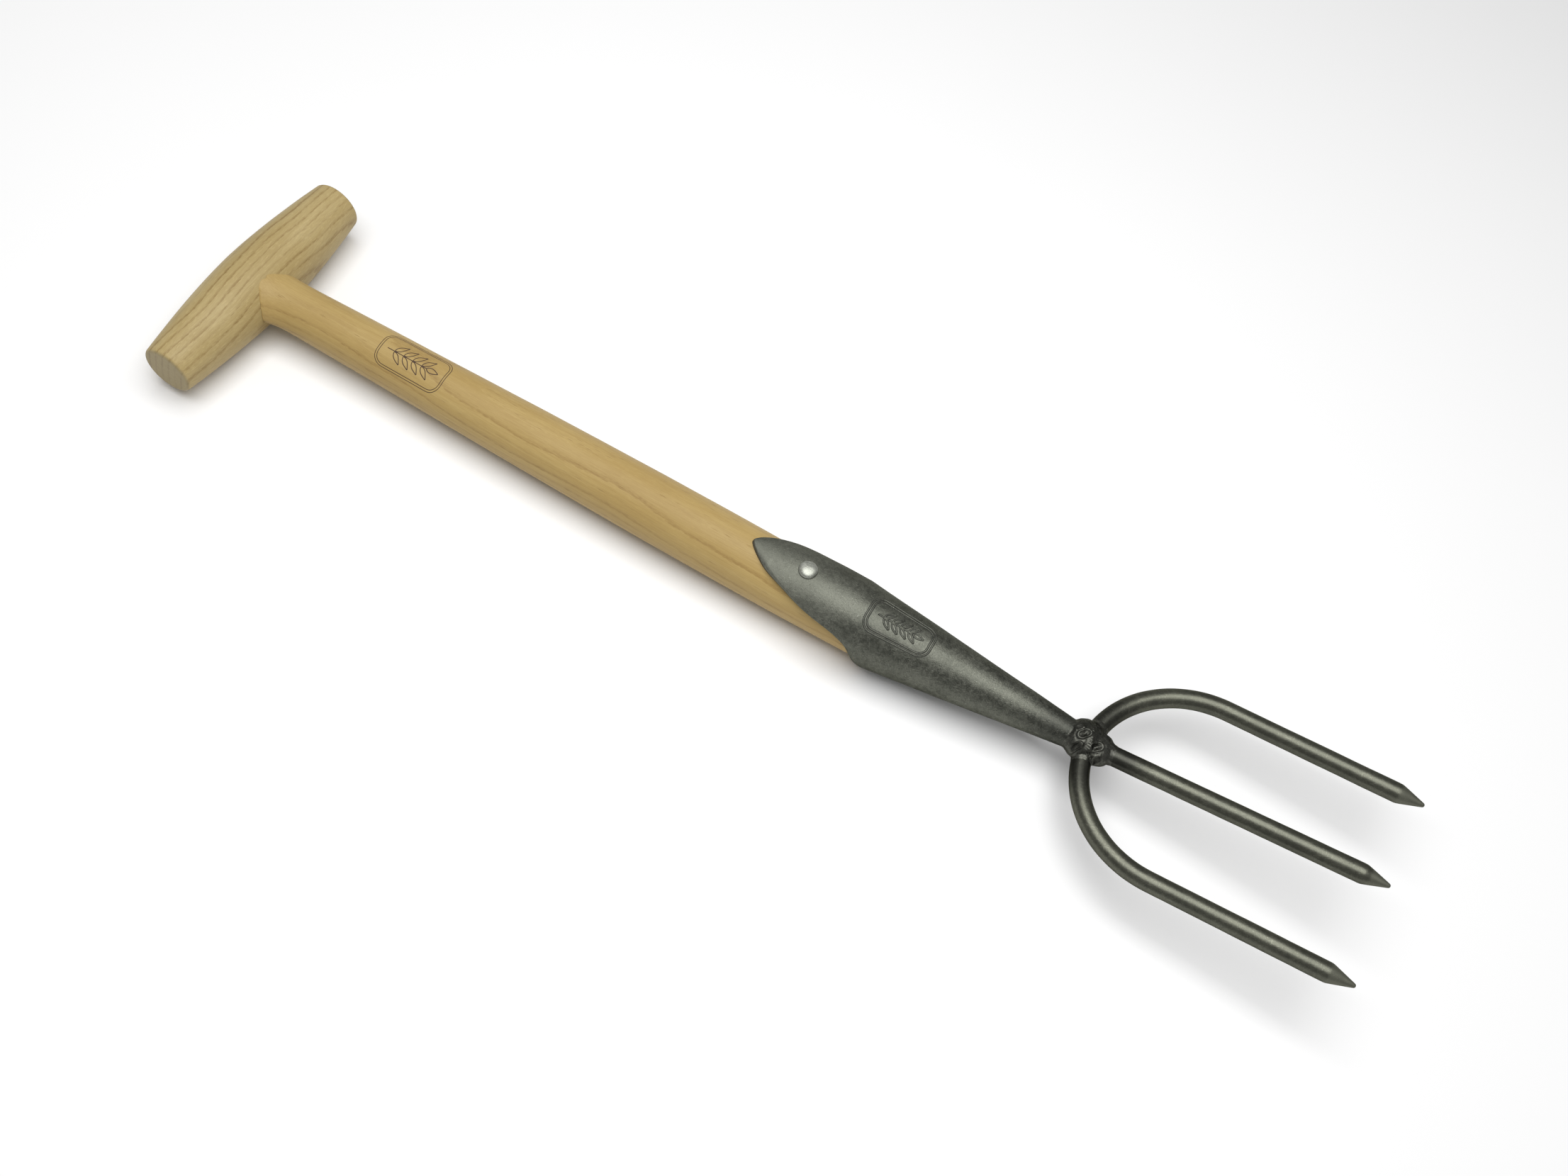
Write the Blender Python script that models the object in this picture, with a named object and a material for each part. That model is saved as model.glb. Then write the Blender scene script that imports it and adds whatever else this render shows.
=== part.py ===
"""Short three-tine digging fork with a wooden T-handle.

Lengths are in metres, +Z is up and +X runs from the handle to the tine tips. The pieces
are laid out from the handle's own axis (X = 0, Z = 0) under one parent empty, which moves
the fork so that it lies on Z = 0 with the origin under the middle of its bounding box.
The strap side faces up.
"""
import math

import bmesh
import bpy
import numpy as np
from mathutils import Vector

GAP = 0.0003                    # kept between pieces that touch
CLEAR = 0.03                    # how far a cutting guide reaches, past any surface it cuts

# T-handle: a turned barrel along Y
GRIP_LENGTH = 0.142
GRIP_MID_R = 0.0200
GRIP_END_R = 0.0140
GRIP_POWER = 1.7                # how full the barrel's curve is
GRIP_EDGE_R = 0.0026

# shaft: radii at equal steps from the handle's axis to the socket's throat
SHAFT_RADII = (0.0133, 0.0155, 0.0175, 0.0165)
SHAFT_FLARE = 0.0019            # extra radius where the shoulder is scribed to the handle
SHAFT_FLARE_X = 0.011
SHAFT_FLARE_FADE = 0.007
SHAFT_START = 0.002
SHAFT_END = 0.468
TENON_R = 0.0095
TENON_ROOT = 0.030
# the tenon's inner length, which the handle's outline doesn't trim; its faces stay clear of
# the turned guides' own vertices
TENON_KEEP = ((0.0037, -0.0121, -0.0123), (0.041, 0.0121, 0.0123))
KERF_HALF = 0.012
KERF_DEPTH = 0.019
KERF_WIDTH = 0.0032
WEDGE_THICK = 0.0026
WEDGE_THIN = 0.0012

# socket: rolled plate, a cone behind the tines and a long strap on top of the shaft
THROAT_X = 0.3815
THROAT_R = 0.0205
NECK_X = 0.4981
NECK_R = 0.0068
NECK_RISE = 0.0057              # how far the cone's axis rises from throat to neck
SHOULDER_SLOPE = 0.09           # how fast the strap closes in between its end and the throat
STRAP_TIP_R = 0.0202
STRAP_MID_X = 0.341
STRAP_MID_R = 0.0213
STRAP_END_X = 0.3715
STRAP_END_R = 0.0214
PLATE = 0.0030
EDGE_PLATE = 0.0019             # the plate is drawn thinner along its rim
EDGE_FADE = 0.0050
BORE_START_X = 0.3870
BORE_END = 0.484
SEAM_HALF = math.radians(4.5)
# where the plate starts along X, at each angle from the top of the shaft, in degrees
STRAP_OUTLINE = (
    (0.0, 0.3108), (7.0, 0.3122), (14.5, 0.3149), (22.0, 0.3182), (31.0, 0.3229),
    (40.0, 0.3305), (47.0, 0.3380), (56.0, 0.3520), (63.0, 0.3655), (71.0, 0.3730),
    (81.0, 0.3775), (104.0, 0.3818), (130.0, 0.3845), (180.0, 0.3860),
)

# rivet through strap and shaft, its tail closed over a washer let into the wood
RIVET_X = 0.3429
RIVET_R = 0.0030
RIVET_HEAD_R = 0.0050
RIVET_HEAD_H = 0.0026
RIVET_TAIL_R = 0.0044
RIVET_TAIL_H = 0.0014
WASHER_R = 0.0070
WASHER_T = 0.0012
WASHER_SEAT = 0.0149            # depth of the washer's seat below the shaft's axis

# tines: round bar
BAR_R = 0.0050
CROWN_X = 0.5035
BEND_X = 0.0529                 # reach of each bend along X
BEND_Y = 0.0518                 # and along Y, the outer tines' distance from the middle
TINE_TIP_Y = 0.0514
OUTER_TIP_X = 0.6569
CROWN_Z = 0.0053
OUTER_SLOPE = 0.107
CENTRE_TIP_X = 0.6541
CENTRE_ROOT_Z = 0.0051
CENTRE_SLOPE = 0.144
POINT_LENGTH = 0.0125
POINT_R = 0.0012
POINT_NOSE = ((0.0, 0.5), (0.0004, 0.9), (0.0012, 1.15))   # distance back, share of POINT_R
BEND_STEPS = 28

# weld round the neck, the bent bar and the middle tine
WELD_X = 0.5022
WELD_REACH = (0.0130, 0.0112, 0.0090)

BAR_SIDES = 16
SHAFT_SIDES = 32
SOCKET_COLUMNS = 24              # to each side of the top line
SOCKET_ROWS = 18
TURN_STEPS = 40


def clear_scene():
    for old in list(bpy.data.objects):
        bpy.data.objects.remove(old, do_unlink=True)


def material(name, color, roughness, metallic):
    mat = bpy.data.materials.new(name)
    mat.use_nodes = True
    shader = mat.node_tree.nodes["Principled BSDF"]
    shader.inputs["Base Color"].default_value = (*color, 1.0)
    shader.inputs["Roughness"].default_value = roughness
    shader.inputs["Metallic"].default_value = metallic
    return mat


def smooth_through(points, at):
    """Monotone cubic curve through (x, y) points, read at one x."""
    xs, ys = zip(*points)
    steps = [xs[i + 1] - xs[i] for i in range(len(xs) - 1)]
    rises = [(ys[i + 1] - ys[i]) / steps[i] for i in range(len(steps))]
    slopes = [0.0]
    for before, after in zip(rises, rises[1:]):
        both = before * after
        slopes.append(2.0 * both / (before + after) if both > 0.0 else 0.0)
    slopes.append(0.0)
    last = len(steps) - 1
    i = min(max(sum(1 for x in xs[1:-1] if at >= x), 0), last)
    t = min(max((at - xs[i]) / steps[i], 0.0), 1.0)
    return (
        (2 * t**3 - 3 * t**2 + 1) * ys[i]
        + (t**3 - 2 * t**2 + t) * steps[i] * slopes[i]
        + (3 * t**2 - 2 * t**3) * ys[i + 1]
        + (t**3 - t**2) * steps[i] * slopes[i + 1]
    )


def add_object(name, bm, mat, root):
    bmesh.ops.recalc_face_normals(bm, faces=bm.faces)
    mesh = bpy.data.meshes.new(name)
    bm.to_mesh(mesh)
    bm.free()
    mesh.shade_smooth()
    mesh.set_sharp_from_angle(angle=math.radians(35.0))
    if mat:
        mesh.materials.append(mat)
    obj = bpy.data.objects.new(name, mesh)
    bpy.context.collection.objects.link(obj)
    obj.parent = root
    return obj


def ring(bm, centre, side, up, radius, count):
    """A loop of vertices round centre, in the plane of side and up."""
    turns = (2.0 * math.pi * k / count for k in range(count))
    return [bm.verts.new(centre + radius * (math.cos(a) * side + math.sin(a) * up)) for a in turns]


def bridge(bm, first, second):
    for k in range(len(first)):
        n = (k + 1) % len(first)
        bm.faces.new((first[k], first[n], second[n], second[k]))


def swept(name, centres, radii, mat, root, sides=BAR_SIDES, square_to_x=False):
    """A closed bar of varying radius along a path that stays in planes through Z."""
    bm = bmesh.new()
    rings = []
    for i, centre in enumerate(centres):
        ahead = centres[min(i + 1, len(centres) - 1)] - centres[max(i - 1, 0)]
        if square_to_x:
            ahead = Vector((1.0, 0.0, 0.0))
        side = Vector((0.0, 0.0, 1.0)).cross(ahead).normalized()
        up = ahead.cross(side).normalized()
        rings.append(ring(bm, centre, side, up, radii[i], sides))
    for first, second in zip(rings, rings[1:]):
        bridge(bm, first, second)
    bm.faces.new(rings[0])
    bm.faces.new(list(reversed(rings[-1])))
    return add_object(name, bm, mat, root)


def turned(name, profile, mat, root, steps=TURN_STEPS):
    """A solid turned about local Z from (radius, height) points that run top to bottom."""
    bm = bmesh.new()
    verts = [bm.verts.new((r, 0.0, h)) for r, h in profile]
    for first, second in zip(verts, verts[1:]):
        bm.edges.new((first, second))
    bmesh.ops.spin(
        bm, geom=bm.verts[:] + bm.edges[:], cent=(0.0, 0.0, 0.0), axis=(0.0, 0.0, 1.0),
        angle=2.0 * math.pi, steps=steps, use_merge=True,
    )
    bmesh.ops.remove_doubles(bm, verts=bm.verts, dist=0.000001)
    return add_object(name, bm, mat, root)


def box(name, low, high, root):
    bm = bmesh.new()
    bmesh.ops.create_cube(bm, size=1.0)
    size = [b - a for a, b in zip(low, high)]
    middle = [(a + b) / 2.0 for a, b in zip(low, high)]
    bmesh.ops.scale(bm, vec=size, verts=bm.verts)
    bmesh.ops.translate(bm, vec=middle, verts=bm.verts)
    return add_object(name, bm, None, root)


def boolean(obj, operation, tool):
    """Adds a Boolean modifier; its tool stays in the file as a hidden guide."""
    tool.hide_render = True
    tool.display_type = "WIRE"
    mod = obj.modifiers.new(operation.title() + "_" + tool.name, "BOOLEAN")
    mod.operation = operation
    mod.solver = "EXACT"
    mod.object = tool


def grip_radius(y):
    return GRIP_END_R + (GRIP_MID_R - GRIP_END_R) * (1.0 - abs(2.0 * y / GRIP_LENGTH) ** GRIP_POWER)


def grip_profile(grow=0.0, stations=17):
    """The barrel from one end to the other, with rounded rims and flat ends."""
    half = GRIP_LENGTH / 2.0 + grow
    rim = GRIP_EDGE_R
    flat = half - rim
    profile = [(0.0, half)]
    for k in range(5):
        a = math.radians(90.0 - 22.5 * k)
        profile.append((
            grip_radius(flat) + grow - rim + rim * math.cos(a),
            flat + rim * math.sin(a),
        ))
    for k in range(1, stations):
        y = flat * (1.0 - 2.0 * k / stations)
        profile.append((grip_radius(y) + grow, y))
    return profile + [(r, -h) for r, h in reversed(profile[:6])]


def make_grip(root, mat):
    grip = turned("grip", grip_profile(), mat, root)
    grip.rotation_euler = (math.radians(90.0), 0.0, 0.0)
    mortise = [Vector((x, 0.0, 0.0)) for x in (-CLEAR, CLEAR)]
    boolean(grip, "DIFFERENCE", swept(
        "mortise_guide", mortise, [TENON_R + GAP] * 2, None, root, sides=TURN_STEPS // 2))


def shaft_radius(x):
    steps = np.linspace(0.0, THROAT_X, len(SHAFT_RADII))
    cubic = np.polyfit(steps, SHAFT_RADII, len(SHAFT_RADII) - 1)
    flare = SHAFT_FLARE * math.exp(-max(x - SHAFT_FLARE_X, 0.0) / SHAFT_FLARE_FADE)
    return float(np.polyval(cubic, x)) + flare


def cone_axis_z(x):
    """The cone leaves the shaft's line at its throat and rises towards the neck."""
    return NECK_RISE * max(x - THROAT_X, 0.0) / (NECK_X - THROAT_X)


def socket_outer(x):
    """Outer radius: a strap that swells slightly, a shoulder, then the cone."""
    if x < STRAP_END_X:
        return smooth_through(
            ((STRAP_OUTLINE[0][1], STRAP_TIP_R), (STRAP_MID_X, STRAP_MID_R),
             (STRAP_END_X, STRAP_END_R)), x)
    cone = THROAT_R + (NECK_R - THROAT_R) * (x - THROAT_X) / (NECK_X - THROAT_X)
    shoulder = STRAP_END_R - SHOULDER_SLOPE * (x - STRAP_END_X)
    return min(cone, shoulder)


def socket_inner(x):
    """Inner radius: close on the shaft under the strap, easing into the cone's own bore."""
    hugging = shaft_radius(x) + GAP
    t = min(max((x - STRAP_END_X) / (BORE_START_X - STRAP_END_X), 0.0), 1.0)
    ease = t * t * (3.0 - 2.0 * t)
    return hugging + (socket_outer(x) - PLATE - hugging) * ease


def fitted_radius(x):
    """The shaft where it is free, and its tapered end inside the cone."""
    return min(shaft_radius(x), socket_inner(x) - GAP)


def make_shaft(root, mat):
    free = np.linspace(SHAFT_START, STRAP_END_X, 22)
    eased = np.linspace(STRAP_END_X, BORE_START_X, 7)[1:]
    fitted = np.linspace(BORE_START_X, SHAFT_END, 4)[1:]
    stations = [float(x) for x in (*free, *eased, *fitted)]
    centres = [Vector((x, 0.0, cone_axis_z(x))) for x in stations]
    radii = [fitted_radius(x) for x in stations]
    shaft = swept("shaft", centres, radii, mat, root, sides=SHAFT_SIDES, square_to_x=True)

    scribe = turned("scribe_guide", grip_profile(grow=GAP), None, root)
    scribe.rotation_euler = (math.radians(90.0), 0.0, 0.0)
    boolean(shaft, "DIFFERENCE", scribe)

    tenon_line = [Vector((x, 0.0, 0.0)) for x in (-CLEAR, TENON_ROOT)]
    tenon = swept("tenon_guide", tenon_line, [TENON_R] * 2, None, root, sides=TURN_STEPS // 2)
    flush = turned("tenon_flush_guide", grip_profile(), None, root)
    flush.rotation_euler = (math.radians(90.0), 0.0, 0.0)
    keep = box("tenon_root_guide", TENON_KEEP[0], TENON_KEEP[1], root)
    boolean(flush, "UNION", keep)
    boolean(tenon, "INTERSECT", flush)
    boolean(shaft, "UNION", tenon)

    kerf = box(
        "kerf_guide", (-CLEAR, -KERF_WIDTH / 2.0, -KERF_HALF),
        (KERF_DEPTH - GRIP_MID_R, KERF_WIDTH / 2.0, KERF_HALF), root)
    boolean(shaft, "DIFFERENCE", kerf)

    rivet_hole = turned(
        "rivet_hole_guide",
        ((0.0, CLEAR), (RIVET_R + GAP, CLEAR), (RIVET_R + GAP, -WASHER_SEAT),
         (WASHER_R + GAP, -WASHER_SEAT), (WASHER_R + GAP, -CLEAR), (0.0, -CLEAR)),
        None, root, steps=24)
    rivet_hole.location = (RIVET_X, 0.0, 0.0)
    boolean(shaft, "DIFFERENCE", rivet_hole)


def make_wedge(root, mat):
    """A thin hardwood wedge, driven into the tenon's kerf from outside and dressed flush."""
    bm = bmesh.new()
    deep = KERF_DEPTH - GRIP_MID_R - 4.0 * GAP
    wide = TENON_R - 6.0 * GAP
    corners = []
    for x, thick in ((-CLEAR, WEDGE_THICK), (deep, WEDGE_THIN)):
        for y, z in ((-1, -1), (1, -1), (1, 1), (-1, 1)):
            corners.append(bm.verts.new((x, y * thick / 2.0, z * wide)))
    bridge(bm, corners[:4], corners[4:])
    bm.faces.new(corners[:4])
    bm.faces.new(corners[4:])
    wedge = add_object("tenon_wedge", bm, mat, root)
    flush = turned("wedge_flush_guide", grip_profile(), None, root)
    flush.rotation_euler = (math.radians(90.0), 0.0, 0.0)
    boolean(wedge, "INTERSECT", flush)


def plate_start(angle):
    return smooth_through(STRAP_OUTLINE, math.degrees(abs(angle)))


def plate_thinning(from_edge):
    """Share of the full plate that is left at a distance from the rim."""
    t = min(from_edge / EDGE_FADE, 1.0)
    return 1.0 - (1.0 - t) ** 2


def make_socket(root, mat):
    """Rolled plate: columns run round the shaft, rows run from the rim to the neck."""
    widest = math.pi - SEAM_HALF
    angles = [widest * k / SOCKET_COLUMNS for k in range(-SOCKET_COLUMNS, SOCKET_COLUMNS + 1)]
    rows = [(k / SOCKET_ROWS) ** 1.5 for k in range(SOCKET_ROWS + 1)]
    bm = bmesh.new()

    def point(x, angle, radius):
        return bm.verts.new((
            x, radius * math.sin(angle), cone_axis_z(x) + radius * math.cos(angle)))

    def sheet(last_x, inner):
        grid = []
        for angle in angles:
            start = plate_start(angle)
            column = []
            for row in rows:
                x = start + row * (last_x - start)
                radius = socket_inner(x)
                if not inner:
                    full = socket_outer(x) - radius
                    thin = EDGE_PLATE + (full - EDGE_PLATE) * plate_thinning(x - start)
                    radius += min(thin, full)
                column.append(point(x, angle, radius))
            grid.append(column)
        return grid

    outer = sheet(NECK_X, inner=False)
    bore = sheet(BORE_END, inner=True)
    for grid in (outer, bore):
        for a in range(len(grid) - 1):
            for b in range(len(rows) - 1):
                bm.faces.new((grid[a][b], grid[a + 1][b], grid[a + 1][b + 1], grid[a][b + 1]))
    for a in range(len(outer) - 1):
        bm.faces.new((outer[a][0], outer[a + 1][0], bore[a + 1][0], bore[a][0]))
    for side in (0, -1):
        for b in range(len(rows) - 1):
            bm.faces.new((outer[side][b], outer[side][b + 1], bore[side][b + 1], bore[side][b]))
    # the bore closes on a point and the neck closes on a face, joined across the seam
    bore_tip = bm.verts.new((BORE_END, 0.0, cone_axis_z(BORE_END)))
    neck_tip = bm.verts.new((NECK_X, 0.0, cone_axis_z(NECK_X)))
    for a in range(len(outer) - 1):
        bm.faces.new((bore[a][-1], bore[a + 1][-1], bore_tip))
        bm.faces.new((outer[a][-1], outer[a + 1][-1], neck_tip))
    for side in (0, -1):
        bm.faces.new((bore[side][-1], bore_tip, neck_tip, outer[side][-1]))
    socket = add_object("socket", bm, mat, root)
    strap_hole = turned(
        "strap_hole_guide",
        ((0.0, CLEAR), (RIVET_R + GAP, CLEAR), (RIVET_R + GAP, 0.0), (0.0, 0.0)), None, root,
        steps=24)
    strap_hole.location = (RIVET_X, 0.0, 0.0)
    boolean(socket, "DIFFERENCE", strap_hole)


def make_rivet(root, mat):
    """Domed head on the strap, shank through strap and shaft, closed tail below the washer."""
    seat = socket_outer(RIVET_X) + GAP
    tail = -(WASHER_SEAT + WASHER_T + 2.0 * GAP)
    head = [math.radians(15.0 * k) for k in range(7)]
    profile = [(RIVET_HEAD_R * math.sin(a), seat + RIVET_HEAD_H * math.cos(a)) for a in head]
    profile += [(RIVET_R, seat), (RIVET_R, tail), (RIVET_TAIL_R, tail)]
    profile += [
        (RIVET_TAIL_R * math.sin(a), tail - RIVET_TAIL_H * math.cos(a))
        for a in reversed(head[:-1])
    ]
    rivet = turned("rivet", profile, mat, root, steps=24)
    rivet.location = (RIVET_X, 0.0, 0.0)


def make_washer(root, mat):
    top = -WASHER_SEAT - GAP
    low = top - WASHER_T
    hole = RIVET_R + GAP
    profile = ((WASHER_R, top), (WASHER_R, low), (hole, low), (hole, top), (WASHER_R, top))
    washer = turned("rivet_washer", profile, mat, root, steps=24)
    washer.location = (RIVET_X, 0.0, 0.0)


def crown_line(span, count):
    """Points round the bend at the middle of the bar, span degrees to each side."""
    line = []
    for k in range(count + 1):
        a = math.radians(span * (2.0 * k / count - 1.0))
        x = CROWN_X + BEND_X * (1.0 - math.cos(a))
        line.append(Vector((x, BEND_Y * math.sin(a), CROWN_Z + OUTER_SLOPE * (x - CROWN_X))))
    return line


def pointed_end(tip, back):
    """Stations and radii from a tine's blunt tip back to its full thickness."""
    along = (back - tip).normalized()
    line = [tip + along * d for d, share in POINT_NOSE] + [tip + along * POINT_LENGTH]
    return line, [POINT_R * share for d, share in POINT_NOSE] + [BAR_R]


def make_outer_tines(root, mat):
    """One bar bent into a U: both outer tines and the crown between them."""
    tip_z = CROWN_Z + OUTER_SLOPE * (OUTER_TIP_X - CROWN_X)
    bend = crown_line(90.0, BEND_STEPS)
    first, first_r = pointed_end(Vector((OUTER_TIP_X, -TINE_TIP_Y, tip_z)), bend[0])
    last, last_r = pointed_end(Vector((OUTER_TIP_X, TINE_TIP_Y, tip_z)), bend[-1])
    line = first + bend + list(reversed(last))
    radii = first_r + [BAR_R] * len(bend) + list(reversed(last_r))
    swept("outer_tines", line, radii, mat, root)


def make_centre_tine(root, mat):
    foot_x = CROWN_X + BAR_R + GAP
    rise = CENTRE_SLOPE * (CENTRE_TIP_X - CROWN_X)
    foot = Vector((foot_x, 0.0, CENTRE_ROOT_Z + CENTRE_SLOPE * (foot_x - CROWN_X)))
    line, radii = pointed_end(Vector((CENTRE_TIP_X, 0.0, CENTRE_ROOT_Z + rise)), foot)
    swept("centre_tine", line + [foot], radii + [BAR_R], mat, root)


def make_weld(name, side, root, mat):
    """Half of a low mound, cut to sit on the neck, the bent bar and the middle tine."""
    bm = bmesh.new()
    bmesh.ops.create_uvsphere(bm, u_segments=28, v_segments=14, radius=1.0)
    bmesh.ops.scale(bm, vec=WELD_REACH, verts=bm.verts)
    bmesh.ops.translate(bm, vec=(WELD_X, 0.0, CROWN_Z), verts=bm.verts)
    cut = bmesh.ops.bisect_plane(
        bm, geom=bm.verts[:] + bm.edges[:] + bm.faces[:], dist=0.000001,
        plane_co=(0.0, 0.0, CROWN_Z + side * GAP / 2.0), plane_no=(0.0, 0.0, -side),
        clear_outer=True)
    rim = [e for e in cut["geom_cut"] if isinstance(e, bmesh.types.BMEdge)]
    bmesh.ops.contextual_create(bm, geom=rim)
    weld = add_object(name, bm, mat, root)

    crown = crown_line(90.0, BEND_STEPS)[BEND_STEPS // 4:-BEND_STEPS // 4]
    bar = swept(name + "_bar_guide", crown, [BAR_R + GAP] * len(crown), None, root)
    boolean(weld, "DIFFERENCE", bar)

    foot = Vector((CROWN_X, 0.0, CENTRE_ROOT_Z))
    ahead = foot + Vector((CLEAR, 0.0, CLEAR * CENTRE_SLOPE))
    tine = swept(name + "_tine_guide", [foot, ahead], [BAR_R + GAP] * 2, None, root)
    boolean(weld, "DIFFERENCE", tine)

    stations = [NECK_X + GAP - 0.004 * k for k in range(8)]
    neck = swept(
        name + "_neck_guide", [Vector((x, 0.0, cone_axis_z(x))) for x in stations],
        [socket_outer(x) + GAP for x in stations], None, root, sides=48, square_to_x=True)
    boolean(weld, "DIFFERENCE", neck)


def main():
    clear_scene()
    root = bpy.data.objects.new("fork", None)
    bpy.context.collection.objects.link(root)
    root.location = (-(OUTER_TIP_X - GRIP_MID_R) / 2.0, 0.0, GRIP_MID_R)
    pale_ash = material("pale_ash", (0.50, 0.39, 0.21), 0.55, 0.0)
    ash = material("ash", (0.55, 0.39, 0.17), 0.45, 0.0)
    wedge_wood = material("wedge_wood", (0.25, 0.14, 0.07), 0.6, 0.0)
    tumbled = material("tumbled_steel", (0.30, 0.30, 0.28), 0.45, 1.0)
    aluminium = material("rivet_aluminium", (0.80, 0.80, 0.76), 0.35, 1.0)
    bar = material("bar_steel", (0.22, 0.22, 0.19), 0.35, 1.0)
    bead = material("weld_metal", (0.12, 0.12, 0.12), 0.6, 1.0)
    make_grip(root, pale_ash)
    make_shaft(root, ash)
    make_wedge(root, wedge_wood)
    make_socket(root, tumbled)
    make_rivet(root, aluminium)
    make_washer(root, aluminium)
    make_outer_tines(root, bar)
    make_centre_tine(root, bar)
    make_weld("front_weld", 1, root, bead)
    make_weld("back_weld", -1, root, bead)


if __name__ == "__main__":
    main()
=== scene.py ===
"""The looks of a short three-tine digging fork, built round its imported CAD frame.

Metres throughout. The shapes below are worked out from the T-handle's own axis, which runs
along Y through HOME, and every piece is then moved there. The shaft runs from it along +X.
"""
import math

import bmesh
import bpy
import numpy as np
from mathutils import Euler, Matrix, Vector, noise


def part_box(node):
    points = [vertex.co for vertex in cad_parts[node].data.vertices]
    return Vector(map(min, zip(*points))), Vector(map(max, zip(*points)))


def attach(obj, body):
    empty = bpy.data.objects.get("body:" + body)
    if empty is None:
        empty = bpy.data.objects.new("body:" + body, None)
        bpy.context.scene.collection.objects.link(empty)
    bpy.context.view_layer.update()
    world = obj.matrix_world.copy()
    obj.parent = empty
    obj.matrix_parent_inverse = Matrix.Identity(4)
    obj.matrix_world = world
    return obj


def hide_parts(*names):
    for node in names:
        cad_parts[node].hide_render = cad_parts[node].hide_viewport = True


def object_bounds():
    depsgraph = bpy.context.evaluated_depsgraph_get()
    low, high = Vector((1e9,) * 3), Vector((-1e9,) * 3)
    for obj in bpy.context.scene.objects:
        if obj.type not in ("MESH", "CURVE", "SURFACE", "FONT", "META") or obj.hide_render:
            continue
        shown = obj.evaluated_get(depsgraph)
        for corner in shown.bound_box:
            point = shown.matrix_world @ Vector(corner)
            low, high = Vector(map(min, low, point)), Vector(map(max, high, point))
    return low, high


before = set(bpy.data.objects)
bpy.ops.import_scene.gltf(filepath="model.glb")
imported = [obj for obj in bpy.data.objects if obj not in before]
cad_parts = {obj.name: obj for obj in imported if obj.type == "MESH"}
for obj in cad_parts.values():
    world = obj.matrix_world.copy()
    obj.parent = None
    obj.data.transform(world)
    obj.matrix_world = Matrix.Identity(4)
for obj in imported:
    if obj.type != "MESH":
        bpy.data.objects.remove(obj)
cad_low, cad_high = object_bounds()


def middle(node):
    """The middle of a CAD node's box."""
    low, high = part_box(node)
    return (low + high) / 2.0


HOME = middle("grip")
BODY = "root"

# ---------------- sizes: the CAD's, then the finer ones that only the looks need
GRIP_HALF = 0.071
GRIP_MID_R = 0.01995  # just inside the CAD's barrel
GRIP_END_R = 0.0140
GRIP_POWER = 1.7
GRIP_EDGE_R = 0.0022

SHAFT_RADII = (0.0133, 0.0155, 0.0175, 0.0165)  # at even steps from the grip to the throat
SHAFT_FLARE = 0.0019
SHAFT_FLARE_X = 0.011
SHAFT_FLARE_FADE = 0.007
# how proud of the round the shaft is where it meets the grip: (degrees from the top, metres)
SHAFT_CORNER = (
    (-180.0, 0.0), (-122.0, 0.0001), (-97.0, 0.0025), (-82.0, 0.0042), (-54.0, 0.0039),
    (-24.0, 0.0028), (0.0, 0.0017), (30.0, 0.0003), (60.0, 0.0), (180.0, 0.0))
SHAFT_CORNER_FADE = 0.0110
CORNER_EDGE = 0.0003  # the corner's own sharper edge
CORNER_EDGE_TURN = -30.0  # degrees, as is the next
CORNER_EDGE_WIDTH = 5.0
CORNER_R = 0.0165  # about the shaft's radius where it runs into the barrel
SHAFT_EASE = 0.25  # share of the flare taken off near the grip
SHAFT_EASE_X = 0.012
SHAFT_EASE_LENGTH = 0.05
SHAFT_FINE_X = 0.040  # the rings are closer together up to here
SHAFT_TAPER_X = 0.3700  # from here on the shaft lies inside the socket
SHAFT_END = 0.468
TENON_R = 0.0095
TENON_DEPTH = 0.0085  # how far from the grip's axis the shown tenon starts
MORTISE_GAP = 0.00008
MORTISE_DEPTH = 0.008
WEDGE_THICK = 0.0026
WEDGE_WIDE = 0.0154
WEDGE_DEPTH = 0.0098
KERF_GAP = 0.00012
KERF_DEPTH = 0.0095
CLEAR_OF_WOOD = 0.03  # cutting tools reach out to here

THROAT_X = 0.3815
THROAT_R = 0.0205
NECK_X = 0.4981
NECK_R = 0.0068
NECK_RISE = 0.0057
SHOULDER_SLOPE = 0.09
STRAP_TIP_R = 0.0202
STRAP_MID_X = 0.341
STRAP_MID_R = 0.0213
STRAP_END_X = 0.3715
STRAP_END_R = 0.0214
EDGE_PLATE = 0.0019
EDGE_FADE = 0.0050
BORE_START_X = 0.3870
BORE_END = 0.484
PLATE = 0.0030
SHAFT_GAP = 0.0002
FOLD = 0.00025  # rounds the fold between the shoulder and the cone
SEAM_HALF = math.radians(4.5)
STRAP_SKEW = 3.6  # degrees
SKEW_FULL = 40.0  # the skew is whole up to here, in degrees from the top,
SKEW_FADE = 16.0  # and gone this many degrees on
RIM_ROUND = 0.0006
RIM_ROUND_LENGTH = 0.0007
# where the plate starts: (degrees from the top, place along X)
STRAP_OUTLINE = (
    (0.0, 0.3108), (7.0, 0.3122), (14.5, 0.3149), (22.0, 0.3182), (31.0, 0.3229),
    (40.0, 0.3305), (47.0, 0.3380), (56.0, 0.3520), (63.0, 0.3655), (71.0, 0.3730),
    (81.0, 0.3775), (104.0, 0.3818), (130.0, 0.3845), (180.0, 0.3860),
)

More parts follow.
